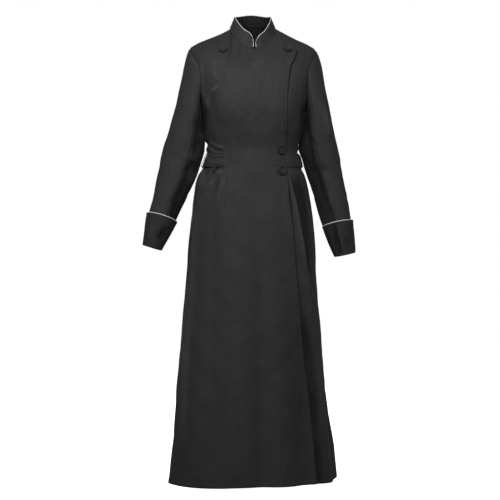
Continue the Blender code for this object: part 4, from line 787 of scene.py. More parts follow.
def add_shell(name, outer, outward, finish, wall=CLOTH, closed=False, worn=(), folds=None):
    """A thin closed shell inside a grid of points, its edges rounded. folds is how far out they reach; it
    sets painted shade in hollows, painted highlight on crests.
    """
    inner = outer - grid_normals(outer, closed, outward) * wall
    rim = (outer + inner) / 2 + steps_off(outer, closed) * wall * EDGE_BULGE
    inside = outer.shape[0] * outer.shape[1]
    spots = np.arange(inside).reshape(outer.shape[:2])
    around = joined(outer) if closed else outer
    spots = joined(spots) if closed else spots
    across = travelled(around, 1)
    across -= across[:, across.shape[1] // 2][:, None]
    weave = np.stack([across, travelled(around, 0)], axis=-1)
    squares = [quads(spots), quads(spots + inside)[:, ::-1]]
    weaves = [quads(weave), quads(weave)[:, ::-1]]
    on_rim = []
    for loop, places in zip(edge_loops(spots, closed), edge_loops(weave, closed)):
        numbers = 2 * inside + len(on_rim) + np.arange(len(loop))
        numbers[-1] = numbers[0]
        squares.append(quads(np.stack([loop, numbers, loop + inside], axis=1)))
        weaves.append(quads(np.stack([places] * 3, axis=1)))
        on_rim.extend(loop[:-1])
    points = np.concatenate([grid.reshape(-1, 3) for grid in (outer, inner)] + [rim.reshape(-1, 3)[on_rim]])
    made = add_solid(name, points, np.concatenate(squares), finish, np.concatenate(weaves))
    wear = np.zeros(outer.shape[:2])
    for edge in worn:
        wear = np.maximum(wear, np.exp(-edge_distance(outer, edge) / WEAR_WIDTH))
    relief = np.zeros(outer.shape[:2]) if folds is None else np.clip(folds / FOLD_RELIEF, -1, 1)
    flat = np.zeros(inside + len(on_rim))
    add_value(made, "wear", wear, wear, wear.ravel()[on_rim])
    # painted shade on the inside faces, and part of it on the rounded edges
    add_value(made, "inside", np.zeros(inside), np.ones(inside), np.full(len(on_rim), INSIDE_SHADE_AT_EDGES))
    # painted shade in the hollows of the folds, and painted highlight on their crests, as deep as each fold
    add_value(made, "hollow", np.maximum(-relief, 0), flat)
    add_value(made, "crest", np.maximum(relief, 0), flat)
    return made


def add_cord(name, path, radius, finish, closed=False, sides=PIPING_SIDES, up=None):
    """A round cord along a path. up is a direction for each point, which the section's first side faces."""
    if closed:
        line = unit(np.roll(path, -1, axis=0) - np.roll(path, 1, axis=0))
    else:
        line = unit(np.gradient(path, axis=0))
    up = path - path.mean(axis=0) if up is None else up
    side = unit(up - line * (up * line).sum(axis=1, keepdims=True))
    points = rings_round(path, side, np.cross(line, side), radius, radius, sides)
    squares, ends = ring_faces(len(path), sides, closed)
    along = travelled(np.concatenate([path, path[:1]] if closed else [path]), 0)
    girth = np.arange(sides + 1) * PIPING_RADIUS * 2 * pi / sides
    weave = quads(np.stack(np.broadcast_arrays(girth, along[:, None]), axis=-1))
    end_weaves = [np.tile((0.0, place), (sides, 1)) for _, place in zip(ends, along[[0, -1]])]
    return add_solid(name, points, squares, finish, weave, ends, end_weaves)


# Trunk pieces

def panel_rows():
    """Side heights of a panel's rows, and the share of the armhole's cut that each has."""
    turn = pi * np.arange(ARMHOLE_STEPS + 1) / ARMHOLE_STEPS
    heights = np.concatenate([
        np.linspace(HEM, BODICE_START, SKIRT_ROWS, endpoint=False),
        np.linspace(BODICE_START, ARMPIT, BODICE_ROWS, endpoint=False),
        ARMPIT + (SHOULDER_TIP - ARMPIT) * (1 - np.cos(turn)) / 2,
        np.linspace(SHOULDER_TIP, 0, TOP_ROWS + 1)[1:],
    ])
    cuts = np.zeros(len(heights))
    cuts[SKIRT_ROWS + BODICE_ROWS:-TOP_ROWS] = np.sin(turn)
    return heights, cuts


ROW_HEIGHTS, ROW_CUTS = panel_rows()
ROW_LAPS = lap_angle(ROW_HEIGHTS)


def crowded(count):
    """Shares from 0 to 1 that lie closer together at both ends."""
    even = np.linspace(0, 1, count + 1)
    return even - EDGE_CROWDING * np.sin(2 * pi * even) / (2 * pi)


def past_line(points, angles, line):
    """How far round the trunk each point lies past a line, which is given by one angle for each row."""
    return (angles - line[:, None]) * np.linalg.norm(points[..., :2], axis=-1)


def lap_shape(points, angles):
    """The right front's stitched edge stands off, and its cloth comes down past the left front's own edge."""
    from_edge = edge_distance(points, "last")
    stand = (LAP_STAND(ROW_HEIGHTS) * wavering(STAND_WAVER, ROW_HEIGHTS))[:, None]
    over_left = smooth_step(1 + past_line(points, angles, -ROW_LAPS) / UNDERLAP_RAMP)
    return stitched_line(from_edge), stand * bell(from_edge, LAP_STAND_WIDTH) + LAP * over_left


def underlap_shape(points, angles):
    """The left front has a shaded dip beside the lap's edge, and sinks a little under the lap."""
    beyond = past_line(points, angles, ROW_LAPS)
    width, depth = TROUGH_WIDTH(ROW_HEIGHTS)[:, None], TROUGH_DEPTH(ROW_HEIGHTS)[:, None]
    dip = depth * bell(beyond - LAP_HIDES - width / 2, width) * wavering(TROUGH_WAVER, ROW_HEIGHTS)[:, None]
    return -dip, -UNDERLAP_SINK * smooth_step(UNDERLAP_SINK_START - beyond / UNDERLAP_SINK_WIDTH)


def add_panel(name, angles, seams, shape=None):
    """A panel of the trunk. shape gives its own folds and its own lift."""
    heights = np.broadcast_to(ROW_HEIGHTS[:, None], angles.shape)
    points, normals = trunk_skin(angles, heights), trunk_normal(angles, heights)
    own_folds, lift = shape(points, angles) if shape else (0.0, 0.0)
    folds = creased(points, normals, "trunk") + own_folds
    folds += stitched_line(edge_distance(points, "bottom"), HEM_LINE)
    for edge in seams:
        folds += seam_line(edge_distance(points, edge))
    outer = folded(points, normals, folds, lift)
    piece = add_shell(f"cloth_{name}", outer, normals, "coat_cloth", worn=("bottom",), folds=folds)
    return piece, outer, normals


def add_front(name, side, over_columns, shape):
    """A front: columns run from the side seam to the lap's line, and on to that line on the other side."""
    seam, lap = (pi / 2 - radians(ARMHOLE_FRONT) * ROW_CUTS)[:, None], ROW_LAPS[:, None]
    beside = lap + (seam - lap) * (1 - crowded(SIDE_COLUMNS)[:-1])
    over = lap * (1 - 2 * crowded(over_columns))
    return add_panel(name, side * np.concatenate([beside, over], axis=1), ("first", "top"), shape)


def add_back():
    seam = (pi / 2 + radians(ARMHOLE_BACK) * ROW_CUTS)[:, None]
    return add_panel("back", seam + (2 * pi - 2 * seam) * crowded(BACK_COLUMNS), ("first", "last", "top"))


# Arms

def arm_points(rings, steps, side_name, side):
    """Points of the rings of one arm, with finer rings between them: each lies square to the arm's line."""
    column = {field: np.array([getattr(ring, field) for ring in rings]) for field in ArmRing._fields[1:]}
    fine = np.linspace(0, len(rings) - 1, (len(rings) - 1) * steps + 1)

    def finer(values):
        return track(np.arange(len(rings)), values)(fine)

    slack = column[f"{side_name}_slack"]
    middles = np.stack([column["out"] - slack / 2, -column["forward"], column["down"]], axis=1)
    swing = radians(ARM_SWING[side_name])
    swung = np.array([[cos(swing), 0, sin(swing)], [0, 1, 0], [-sin(swing), 0, cos(swing)]])
    pivot = np.array([RING_TRACKS["half_width"](ARMPIT), 0.0, ARMPIT])
    dropped = ARM_DROP[side_name] * np.clip((ARMPIT - middles[:, 2]) / ARM_DROP_LENGTH, 0, 1)
    middles = (middles - pivot) @ swung + pivot
    middles[:, 2] += dropped
    middles = np.stack([finer(values) for values in middles.T], axis=1)
    line = unit(np.gradient(middles, axis=0))
    outward = unit(np.cross(line, (0.0, -1.0, 0.0)))
    outward *= np.sign(outward[:, :1])
    forward = unit(np.cross(outward, line))
    forward *= -np.sign(forward[:, 1:2])
    wide = finer(column["half_width"]) + finer(slack) / 2
    points = rings_round(middles, outward, forward, wide, finer(column["half_depth"]), ARM_COLUMNS)
    points[..., 0] *= side
    return points


def clear_of_trunk(points, side):
    """A sleeve's points, those below the armpit that would lie in the trunk moved out against its side."""
    height = np.minimum(points[..., 2], ARMPIT)
    front, back = RING_TRACKS["front_depth"](height), RING_TRACKS["back_depth"](height)
    depth = np.where(points[..., 1] < 0, front, back)
    power = RING_TRACKS["squareness"](height)
    shrunk = (1 - np.clip(np.abs(points[..., 1]) / depth, 0, 1) ** power) ** (1 / power)
    room = SIDE_ROOM * smooth_step((ARMPIT - points[..., 2]) / SIDE_ROOM_START)
    limit = RING_TRACKS["half_width"](height) * shrunk + room
    moved = points.copy()
    outside = side * np.maximum(side * points[..., 0], limit)
    moved[..., 0] = np.where(points[..., 2] < ARMPIT, outside, points[..., 0])
    return moved


def sleeve_points(side_name, side):
    """Outer points of a whole sleeve, rows from the armhole to the end, closed round."""
    turn = full_turn(ARM_COLUMNS)
    up = (1 + np.cos(turn)) / 2
    cut = np.where(np.sin(turn) >= 0, ARMHOLE_FRONT, ARMHOLE_BACK)
    angles = side * (pi / 2 - np.radians(cut) * np.sin(turn))
    start = trunk_skin(angles, ARMPIT + (SHOULDER_TIP - ARMPIT) * up)
    arm = arm_points(ARM_RINGS, ARM_STEPS, side_name, side)
    leave = unit(np.stack([
        side * (CAP_OUT + CAP_OUT_ABOVE * np.cos(turn)),
        -CAP_FORWARD * np.sin(turn),
        CAP_DOWN_ABOVE * np.cos(turn) - CAP_DOWN,
    ], axis=1))
    turns = CAP_TURNS * (CAP_TURN_BELOW + (CAP_TURN_ABOVE - CAP_TURN_BELOW) * up)[:, None]
    first = start + leave * CAP_LEAVES[side_name]
    second = arm[0] - unit(arm[1] - arm[0]) * turns
    along = (np.arange(CAP_STEPS) / CAP_STEPS)[:, None, None] ** CAP_CROWDING
    back = 1 - along
    cap = start * back ** 3 + 3 * first * back ** 2 * along
    cap += 3 * second * back * along ** 2 + arm[0] * along ** 3
    return np.concatenate([cap[:1], clear_of_trunk(np.concatenate([cap[1:], arm]), side)])


def add_sleeve(side_name, side):
    """A sleeve's two pieces by name: the top one, and the under one between the two seams."""
    whole = sleeve_points(side_name, side)
    normals = grid_normals(whole, True)
    normals[0] = normals[1]
    front_seam, back_seam = round(SLEEVE_FRONT_SEAM * ARM_COLUMNS), round(SLEEVE_BACK_SEAM * ARM_COLUMNS)
    along = travelled(joined(whole), 1)
    apart = [np.abs(along[:, :-1] - along[:, seam:seam + 1]) for seam in (front_seam, back_seam)]
    to_seam = np.minimum.reduce([np.minimum(far, along[:, -1:] - far) for far in apart])
    folds = creased(whole, normals, "sleeve") + seam_line(to_seam) + seam_line(edge_distance(whole, "bottom"))
    outer = folded(whole, normals, folds)
    # painted shade on the under sleeve: deeper folds for its colour only, after its shape is made
    folds[:, front_seam + 1:back_seam] -= UNDER_SHADE
    made = {}
    spans = (("top", back_seam - ARM_COLUMNS, front_seam), ("under", front_seam, back_seam))
    for piece, first, last in spans:
        name = f"cloth_sleeve_{piece}_{side_name}"
        kept = np.arange(first, last + 1) % ARM_COLUMNS
        made[piece] = add_shell(name, outer[:, kept], normals[:, kept], "coat_cloth", folds=folds[:, kept])
    return made


def add_cuff(side_name, side):
    """A turned cuff and the corded piping on its top edge."""
    points = arm_points(CUFF_RINGS, CUFF_STEPS, side_name, side)
    down = np.linspace(0, 1, len(points))[:, None] ** 2
    points[..., 2] -= CUFF_MOUTH_TILT * down * np.sin(full_turn(ARM_COLUMNS))
    normals = grid_normals(points, True)
    folds = creased(points, normals, "cuff") + stitched_line(edge_distance(points, "bottom"))
    outer = folded(points, normals, folds)
    name = f"cloth_cuff_{side_name}"
    cuff = add_shell(name, outer, normals, "cuff_cloth", STIFF_CLOTH, True, ("bottom",), folds)
    path = outer[0] - normals[0] * STIFF_CLOTH / 2 + unit(outer[0] - outer[1]) * (PIPING_RADIUS + SEAM_GAP)
    cord = add_cord(f"cord_cuff_{side_name}", path, PIPING_RADIUS, "piping", closed=True)
    return cord, (cuff, outer, normals)


# Collar

def collar_outside():
    """Outer points of the collar, rows from the neck up, open at the centre front."""
    end = radians(COLLAR_END)
    angles = end + (2 * pi - 2 * end) * crowded(COLLAR_COLUMNS)
    base = trunk_skin(angles, 0.0) + trunk_normal(angles, 0.0) * LAP + np.array([0, 0, COLLAR_RISE])
    in_front = np.cos(angles) >= 0
    depth = np.where(in_front, COLLAR_TOP_FRONT, COLLAR_TOP_BACK)
    far_z = np.where(in_front, COLLAR_TOP_FRONT_Z, COLLAR_TOP_BACK_Z)
    bend = np.where(in_front, COLLAR_FRONT_POWER, COLLAR_BACK_POWER)
    along = np.cos(angles) / depth
    radius = ((np.sin(angles) / COLLAR_TOP_HALF_WIDTH) ** 2 + along ** 2) ** -0.5
    z = COLLAR_TOP_SIDE_Z + (far_z - COLLAR_TOP_SIDE_Z) * (radius * np.abs(along)) ** bend
    from_front = np.abs(angle_apart(angles, 0))
    corner = np.clip(1 - (from_front - COLLAR_END) / (COLLAR_CORNER - COLLAR_END), 0, 1)
    right_drop = COLLAR_RIGHT_DROP * smooth_step(from_front / COLLAR_RIGHT_FADE)
    drop = np.where(np.sin(angles) > 0, COLLAR_LEFT_DROP, right_drop)
    z -= COLLAR_CORNER_DROP * corner ** COLLAR_CORNER_POWER
    z -= drop * smooth_step((COLLAR_DROP_END - from_front) / COLLAR_DROP_FADE)
    top = np.stack([radius * np.sin(angles), -radius * np.cos(angles), z], axis=1)
    share = np.linspace(-COLLAR_LAPS, 1, COLLAR_ROWS + 1)[:, None, None]
    return base + (top - base) * share


def beyond_edge(edge, normals, inside):
    """Unit steps off a wall's edge, square to it in the wall's surface, away from the row inside it."""
    step = unit(np.cross(unit(np.gradient(edge, axis=0)), normals))
    return step * np.sign(((edge - inside) * step).sum(axis=1, keepdims=True))


def add_collar():
    """The collar, and the cord that runs up its left end, along its top edge and down its right end."""
    points = collar_outside()
    normals = grid_normals(points, False)
    folds = creased(points, normals, "collar")
    outer = folded(points, normals, folds, swells=SWELLS[2:])
    collar = add_shell("cloth_collar", outer, normals, "coat_cloth", STIFF_CLOTH, folds=folds)
    centre = outer - normals * STIFF_CLOTH / 2
    away = COLLAR_PIPING_RADIUS + SEAM_GAP
    above = beyond_edge(centre[-1], normals[-1], centre[-2])
    left = beyond_edge(centre[:, 0], normals[:, 0], centre[:, 1])
    right = beyond_edge(centre[:, -1], normals[:, -1], centre[:, -2])
    ends, top = slice(2, -2), slice(3, -3)     # the corners' own neighbours are left out
    path = np.concatenate([
        (centre[:, 0] + left * away)[ends],
        [centre[-1, 0] + unit(left[-1] + above[0]) * away * PIPING_CORNER],
        (centre[-1] + above * away)[top],
        [centre[-1, -1] + unit(right[-1] + above[-1]) * away * PIPING_CORNER],
        (centre[:, -1] + right * away)[ends][::-1],
    ])
    for _ in range(PIPING_SOFTENING):
        path[1:-1] = (path[1:-1] + (path[:-2] + path[2:]) / 2) / 2
    facing = np.concatenate([
        normals[ends, 0], normals[-1:, 0], normals[-1, top], normals[-1:, -1], normals[ends, -1][::-1],
    ])
    cord = add_cord("cord_collar", path, COLLAR_PIPING_RADIUS, "piping", up=facing)
    return cord, (collar, outer, normals)


# Band, loops and buttons

def add_band():
    start, end = (angle_of_reach(reach, BAND_MIDDLE) for reach in (BAND_START, BAND_END))
    angles = start + (end - 2 * pi - start) * crowded(BAND_COLUMNS)
    heights = np.linspace(BAND_BOTTOM, BAND_TOP, BAND_ROWS + 1)
    angles, heights = np.broadcast_arrays(angles, heights[:, None])
    over_lap = smooth_step(1 + (angles + lap_angle(BAND_MIDDLE)) * BAND_RADIUS / UNDERLAP_RAMP)
    off_waist = BAND_LIFT(heights) * np.abs(np.sin(angles)) ** BAND_LIFT_POWER
    flat, normals = trunk_skin(angles, heights), trunk_normal(angles, heights)
    sunk = smooth_step(np.minimum(edge_distance(flat, "first"), edge_distance(flat, "last")) / BAND_TUCK)
    lift = (SEAM_GAP + STIFF_CLOTH + BAND_PROUD) * sunk + LAP * over_lap + off_waist
    points = flat + normals * lift[..., None]
    folds = creased(points, normals, "band")
    for edge in ("bottom", "top"):
        folds += stitched_line(edge_distance(points, edge), BAND_LINE)
    in_front = smooth_step(WRINKLE_START - normals[..., 1] / WRINKLE_FACING)
    for wrinkle in BAND_WRINKLES:
        beside = flat[..., 0] - wrinkle.reach
        above = heights - wrinkle.height - wrinkle.slope * beside
        folds += wrinkle.size * in_front * bell(beside, wrinkle.length) * bell(above, wrinkle.width)
    outer = folded(points, normals, folds)
    piece = add_shell("cloth_band", outer, normals, "coat_cloth", STIFF_CLOTH, worn=("top",), folds=folds)
    return piece, outer, normals


def add_band_loop(side_name, side):
    """A strap over the band at a side seam."""
    knee = LOOP_KNEE * LOOP_MARGIN
    low, high = BAND_BOTTOM - LOOP_MARGIN, BAND_TOP + LOOP_MARGIN
    clear = STIFF_CLOTH + LOOP_CLEARANCE
    over = [(height, BAND_LIFT(height) + clear) for height in (BAND_BOTTOM, BAND_MIDDLE, BAND_TOP)]
    lifts, = tracks([(low, 0.0), (BAND_BOTTOM - knee, 0.0), *over, (BAND_TOP + knee, 0.0), (high, 0.0)])
    heights = np.linspace(low, high, LOOP_ROWS + 1)[:, None]
    share = np.linspace(-1, 1, LOOP_COLUMNS)
    angles, heights = np.broadcast_arrays(side * (pi / 2 + share * LOOP_HALF_WIDTH / LOOP_REACH), heights)
    lift = SEAM_GAP + lifts(heights) + LOOP_CLOTH + LOOP_CROWN * (1 - share ** LOOP_CROWN_POWER)
    normals = trunk_normal(angles, heights)
    outer = trunk_skin(angles, heights) + normals * lift[..., None]
    name = f"cloth_band_loop_{side_name}"
    return add_shell(name, outer, normals, "coat_cloth", LOOP_CLOTH, worn=("first", "last"))


def button_rings():
    """Radius and height of the lathe profile's rings, with finer rings between its own."""
    profile = np.array(BUTTON_PROFILE)
    padded = np.concatenate([[2 * profile[0] - profile[1]], profile, [2 * profile[-1] - profile[-2]]])
    before, here, after, beyond = (padded[first:len(profile) - 1 + first, None] for first in range(4))
    t = (np.arange(BUTTON_SMOOTH) / BUTTON_SMOOTH)[:, None]
    bend = (
        2 * here + (after - before) * t + (2 * before - 5 * here + 4 * after - beyond) * t ** 2
        + (3 * here - before - 3 * after + beyond) * t ** 3
    )
    return np.concatenate([(bend / 2).reshape(-1, 2), profile[-1:]]).T


def add_button(place):
    """A dished round button with four sewn holes, facing out of the cloth, and its two crossed threads."""
    angle = angle_of_reach(place.reach, place.side_z)
    out = trunk_normal(angle, place.side_z)
    seat = trunk_skin(angle, place.side_z) + out * (LAP + BUTTON_STAND)
    across = unit(np.cross([0.0, 0.0, 1.0], out))
    up = np.cross(out, across)
    turned = radians(place.turn)
    across, up = across * cos(turned) + up * sin(turned), up * cos(turned) - across * sin(turned)
    radius, height = button_rings()
    points = rings_round(seat + np.outer(height, out), across, up, radius, radius, BUTTON_SIDES)
    squares, ends = ring_faces(len(radius), BUTTON_SIDES)
    body = add_solid(f"face_{place.name}", points, squares, "button", ends=ends)
    turn = full_turn(BUTTON_SIDES)
    # painted shade: darker towards the rim's lower side, where the light from above reaches less
    rise = across[2] * np.cos(turn) + up[2] * np.sin(turn)
    below = smooth_step(RIM_SHADE_MIDDLE - RIM_SHADE_SPREAD * rise / np.abs(rise).max())
    shade = place.upper_rim + (1 - place.upper_rim) * below
    dish_line_shade = BUTTON_DISH_SHARE * bell(radius - BUTTON_DISH, BUTTON_DISH_WIDTH)
    rim = bell(radius - BUTTON_RIM, BUTTON_RIM_WIDTH) + dish_line_shade
    add_value(body, "rim", np.outer(rim, shade) + place.upper_rim * bell(radius, BUTTON_EYE)[:, None])
    corners = ((1, 1), (-1, 1), (-1, -1), (1, -1))
    holes = [seat + HOLE_OFFSET * (across * x + up * y) for x, y in corners]
    cut_holes(body, holes, out, across, up)
    return body, [add_thread(place, number, holes, out) for number in (0, 1)]


def cut_holes(body, holes, out, across, up):
    """Cuts the four holes right through the face."""
    squares, ends = ring_faces(len(HOLE_ENDS), HOLE_SIDES)
    starts = [number * len(HOLE_ENDS) * HOLE_SIDES for number in range(len(holes))]
    points = [
        rings_round(hole + np.outer(HOLE_ENDS, out), across, up, HOLE_RADIUS, HOLE_RADIUS, HOLE_SIDES)
        for hole in holes
    ]
    cutter = add_solid(
        "hole_cutter", points, np.concatenate([squares + start for start in starts]), "button",
        ends=[end + start for start in starts for end in ends],
    )
    cut = body.modifiers.new("holes", "BOOLEAN")
    cut.operation = "DIFFERENCE"
    cut.solver = "EXACT"
    cut.object = cutter
    apply_modifiers(body)
    bpy.data.objects.remove(cutter, do_unlink=True)
    smooth(body.data, BUTTON_SHARP)


def apply_modifiers(piece):
    graph = bpy.context.evaluated_depsgraph_get()
    made = bpy.data.meshes.new_from_object(piece.evaluated_get(graph))
    piece.modifiers.clear()
    piece.data = made


def add_thread(place, number, holes, out):
    """A bar of thread between two opposite holes. The second one lies over the first."""
    start, end = holes[number], holes[number + 2]
    share = np.linspace(0, 1, THREAD_STEPS + 1)
    sunk = THREAD_SINK * (np.abs(2 * share - 1) > THREAD_ENDS)
    rise = THREAD_RISE + THREAD_OVER * number + THREAD_BOW * np.sin(pi * share) ** 0.5 - sunk
    path = start + np.outer(share, end - start) + np.outer(rise, out)
    name, facing = f"thread_{number}_{place.name}", np.broadcast_to(out, path.shape)
    return add_cord(name, path, THREAD_RADIUS, "thread", sides=THREAD_SIDES, up=facing)


# Stitches

def add_one_stitch():
    """One stitch: a short soft cylinder that lies along X, thinner at its ends."""
    along, thick = np.array(STITCH_SHAPE).T
    radius = STITCH_RADIUS * thick
    middles = np.outer(along * STITCH_LENGTH, (1, 0, 0))
    points = rings_round(middles, (0, 1, 0), (0, 0, 1), radius, radius, STITCH_SIDES)
    squares, ends = ring_faces(len(along), STITCH_SIDES)
    return add_solid("one_stitch", points, squares, "thread", ends=ends)


def stitch_group():
    """Geometry nodes that lay stitches along a line of edges, each turned to the line and to the cloth."""
    group = bpy.data.node_groups.new("stitch_row", "GeometryNodeTree")
    for name, way, kind in (
        ("Geometry", "INPUT", "Geometry"), ("Spacing", "INPUT", "Float"), ("Stitch", "INPUT", "Object"),
        ("Thread", "INPUT", "Material"), ("Geometry", "OUTPUT", "Geometry"),
    ):
        group.interface.new_socket(name, in_out=way, socket_type=f"NodeSocket{kind}")
    kinds = {
        "taken": "NodeGroupInput", "given": "NodeGroupOutput", "curve": "GeometryNodeMeshToCurve",
        "spaced": "GeometryNodeResampleCurve", "stitch": "GeometryNodeObjectInfo",
        "tangent": "GeometryNodeInputTangent", "along": "FunctionNodeAlignRotationToVector",
        "cloth": "GeometryNodeInputNamedAttribute", "upright": "FunctionNodeAlignRotationToVector",
        "size": "FunctionNodeRandomValue", "placed": "GeometryNodeInstanceOnPoints",
        "real": "GeometryNodeRealizeInstances", "coloured": "GeometryNodeSetMaterial",
    }
    nodes = {name: group.nodes.new(kind) for name, kind in kinds.items()}
    nodes["spaced"].mode = "LENGTH"
    nodes["along"].axis = "X"
    nodes["cloth"].data_type = "FLOAT_VECTOR"
    nodes["cloth"].inputs["Name"].default_value = "off_cloth"
    nodes["upright"].axis = "Z"
    nodes["upright"].pivot_axis = "X"
    nodes["size"].data_type = "FLOAT"
    nodes["size"].inputs["Seed"].default_value = STITCH_SEED
    limits = [socket for socket in nodes["size"].inputs if socket.type == "VALUE"]
    for socket, size in zip(limits, STITCH_SIZES):
        socket.default_value = size
    for source, target in (
        ("taken.Geometry", "curve.Mesh"), ("curve.Curve", "spaced.Curve"), ("taken.Spacing", "spaced.Length"),
        ("taken.Stitch", "stitch.Object"), ("tangent.Tangent", "along.Vector"),
        ("along.Rotation", "upright.Rotation"), ("cloth.Attribute", "upright.Vector"),
        ("spaced.Curve", "placed.Points"), ("stitch.Geometry", "placed.Instance"),
        ("upright.Rotation", "placed.Rotation"), ("placed.Instances", "real.Geometry"),
        ("real.Geometry", "coloured.Geometry"), ("taken.Thread", "coloured.Material"),
        ("coloured.Geometry", "given.Geometry"),
    ):
        (giver, output), (taker, entry) = source.split("."), target.split(".")
        group.links.new(nodes[giver].outputs[output], nodes[taker].inputs[entry])
    size = next(socket for socket in nodes["size"].outputs if socket.type == "VALUE")
    group.links.new(size, nodes["placed"].inputs["Scale"])
    return group


def line_on(outer, normals, edge, distance):
    """The line that lies this far in from one edge of a grid, and the cloth's normals along it."""
    far = edge_distance(outer, edge)
    grid = np.concatenate([outer, normals], axis=2)
    if edge in ("top", "bottom"):
        grid, far = grid.swapaxes(0, 1), far.T
    found = []
    for values, apart in zip(grid, far):
        if apart[0] > apart[-1]:
            values, apart = values[::-1], apart[::-1]
        if apart[-1] >= distance:
            found.append([np.interp(distance, apart, column) for column in values.T])
    places, facing = np.split(np.array(found), 2, axis=1)
    facing = unit(facing)
    return places + facing * STITCH_LIFT, facing


def add_stitches(name, lines, closed, group, one_stitch):
    """One piece of stitches along several lines."""
    edges, start = [], 0
    for path, _ in lines:
        spots = start + np.arange(len(path))
        pairs = np.stack([spots, np.roll(spots, -1)], axis=1)
        edges += (pairs if closed else pairs[:-1]).tolist()
        start += len(path)
    mesh = bpy.data.meshes.new(name)
    mesh.from_pydata(np.concatenate([path for path, _ in lines]).tolist(), edges, [])
    off_cloth = mesh.attributes.new("off_cloth", "FLOAT_VECTOR", "POINT")
    facing = np.concatenate([ways for _, ways in lines])
    off_cloth.data.foreach_set("vector", facing.astype(np.float32).ravel())
    piece = link(name, mesh)
    rows = piece.modifiers.new("stitches", "NODES")
    rows.node_group = group
    sockets = {item.name: item.identifier for item in group.interface.items_tree if item.in_out == "INPUT"}
    rows[sockets["Spacing"]] = STITCH_SPACING
    rows[sockets["Stitch"]] = one_stitch
    rows[sockets["Thread"]] = bpy.data.materials["thread"]
    apply_modifiers(piece)
    for left in [layer for layer in piece.data.attributes if layer.name == "off_cloth"]:
        piece.data.attributes.remove(left)
    return piece


# Materials

def feed(node, inputs):
    """Sets a node's inputs, by name or number, to plain values or to what other nodes give."""
    for name, value in inputs.items():
        socket = node.inputs[name]
        if isinstance(value, bpy.types.NodeSocket):
            node.id_data.links.new(value, socket)
        else:
            socket.default_value = (*value, 1.0) if socket.type == "RGBA" else value


def gives(tree, kind, inputs, output, **settings):
    """What a new node gives."""
    node = tree.nodes.new(f"ShaderNode{kind}")
    for name, value in settings.items():
        setattr(node, name, value)
    feed(node, inputs)
    return node.outputs[output]


def new_material(name):
    made = bpy.data.materials.get(name) or bpy.data.materials.new(name)
    made.use_nodes = True
    tree = made.node_tree
    tree.nodes.clear()
    surface = tree.nodes.new("ShaderNodeBsdfPrincipled")
    feed(tree.nodes.new("ShaderNodeOutputMaterial"), {"Surface": surface.outputs["BSDF"]})
    return tree, surface


def own_place(tree):
    return gives(tree, "TexCoord", {}, "Object")


def own_weave(tree):
    return gives(tree, "UVMap", {}, "UV", uv_map="weave")


def noise(tree, vector, pattern):
    if pattern.stretch:
        vector = gives(tree, "Mapping", {"Vector": vector, "Scale": pattern.stretch}, "Vector")
    inputs = {"Scale": pattern.scale, "Detail": pattern.detail, "Roughness": pattern.roughness}
    return gives(tree, "TexNoise", {"Vector": vector, **inputs}, "Fac")


def wave(tree, vector, pitch, direction):
    inputs = {"Vector": vector, "Scale": WAVE_LENGTH_AT_SCALE_ONE / pitch, **WAVE_UNEVENNESS}
    return gives(tree, "TexWave", inputs, "Fac", wave_type="BANDS", bands_direction=direction)


def calculate(tree, operation, first, second):
    return gives(tree, "Math", {0: first, 1: second}, "Value", operation=operation)


def ranged(tree, pattern, spread, lowest):
    """A pattern that runs from 0 to 1, brought to a range of its own."""
    return calculate(tree, "ADD", calculate(tree, "MULTIPLY", pattern, spread), lowest)


def added(tree, share, first, second):
    """Two patterns added up: the first has this share, and the second has the rest."""
    return ranged(tree, first, share, calculate(tree, "MULTIPLY", second, 1 - share))


def mix(tree, share, first, second):
    """A colour this share of the way from one to another."""
    node = tree.nodes.new("ShaderNodeMix")
    node.data_type = "RGBA"
    from_, to = (number for number, socket in enumerate(node.inputs) if socket.type == "RGBA")
    feed(node, {"Factor": share, from_: first, to: second})
    return next(socket for socket in node.outputs if socket.type == "RGBA")


def tinted(colour, factor):
    return tuple(value * factor for value in colour)


def bump(tree, height, relief, before=None):
    inputs = {"Height": height, "Distance": relief.depth, "Strength": relief.strength}
    if before is not None:
        inputs["Normal"] = before
    return gives(tree, "Bump", inputs, "Normal")


def stored_share(tree, name, most):
    """A number stored on the mesh, scaled to the most that it may do."""
    return calculate(tree, "MULTIPLY", gives(tree, "Attribute", {}, "Fac", attribute_name=name), most)


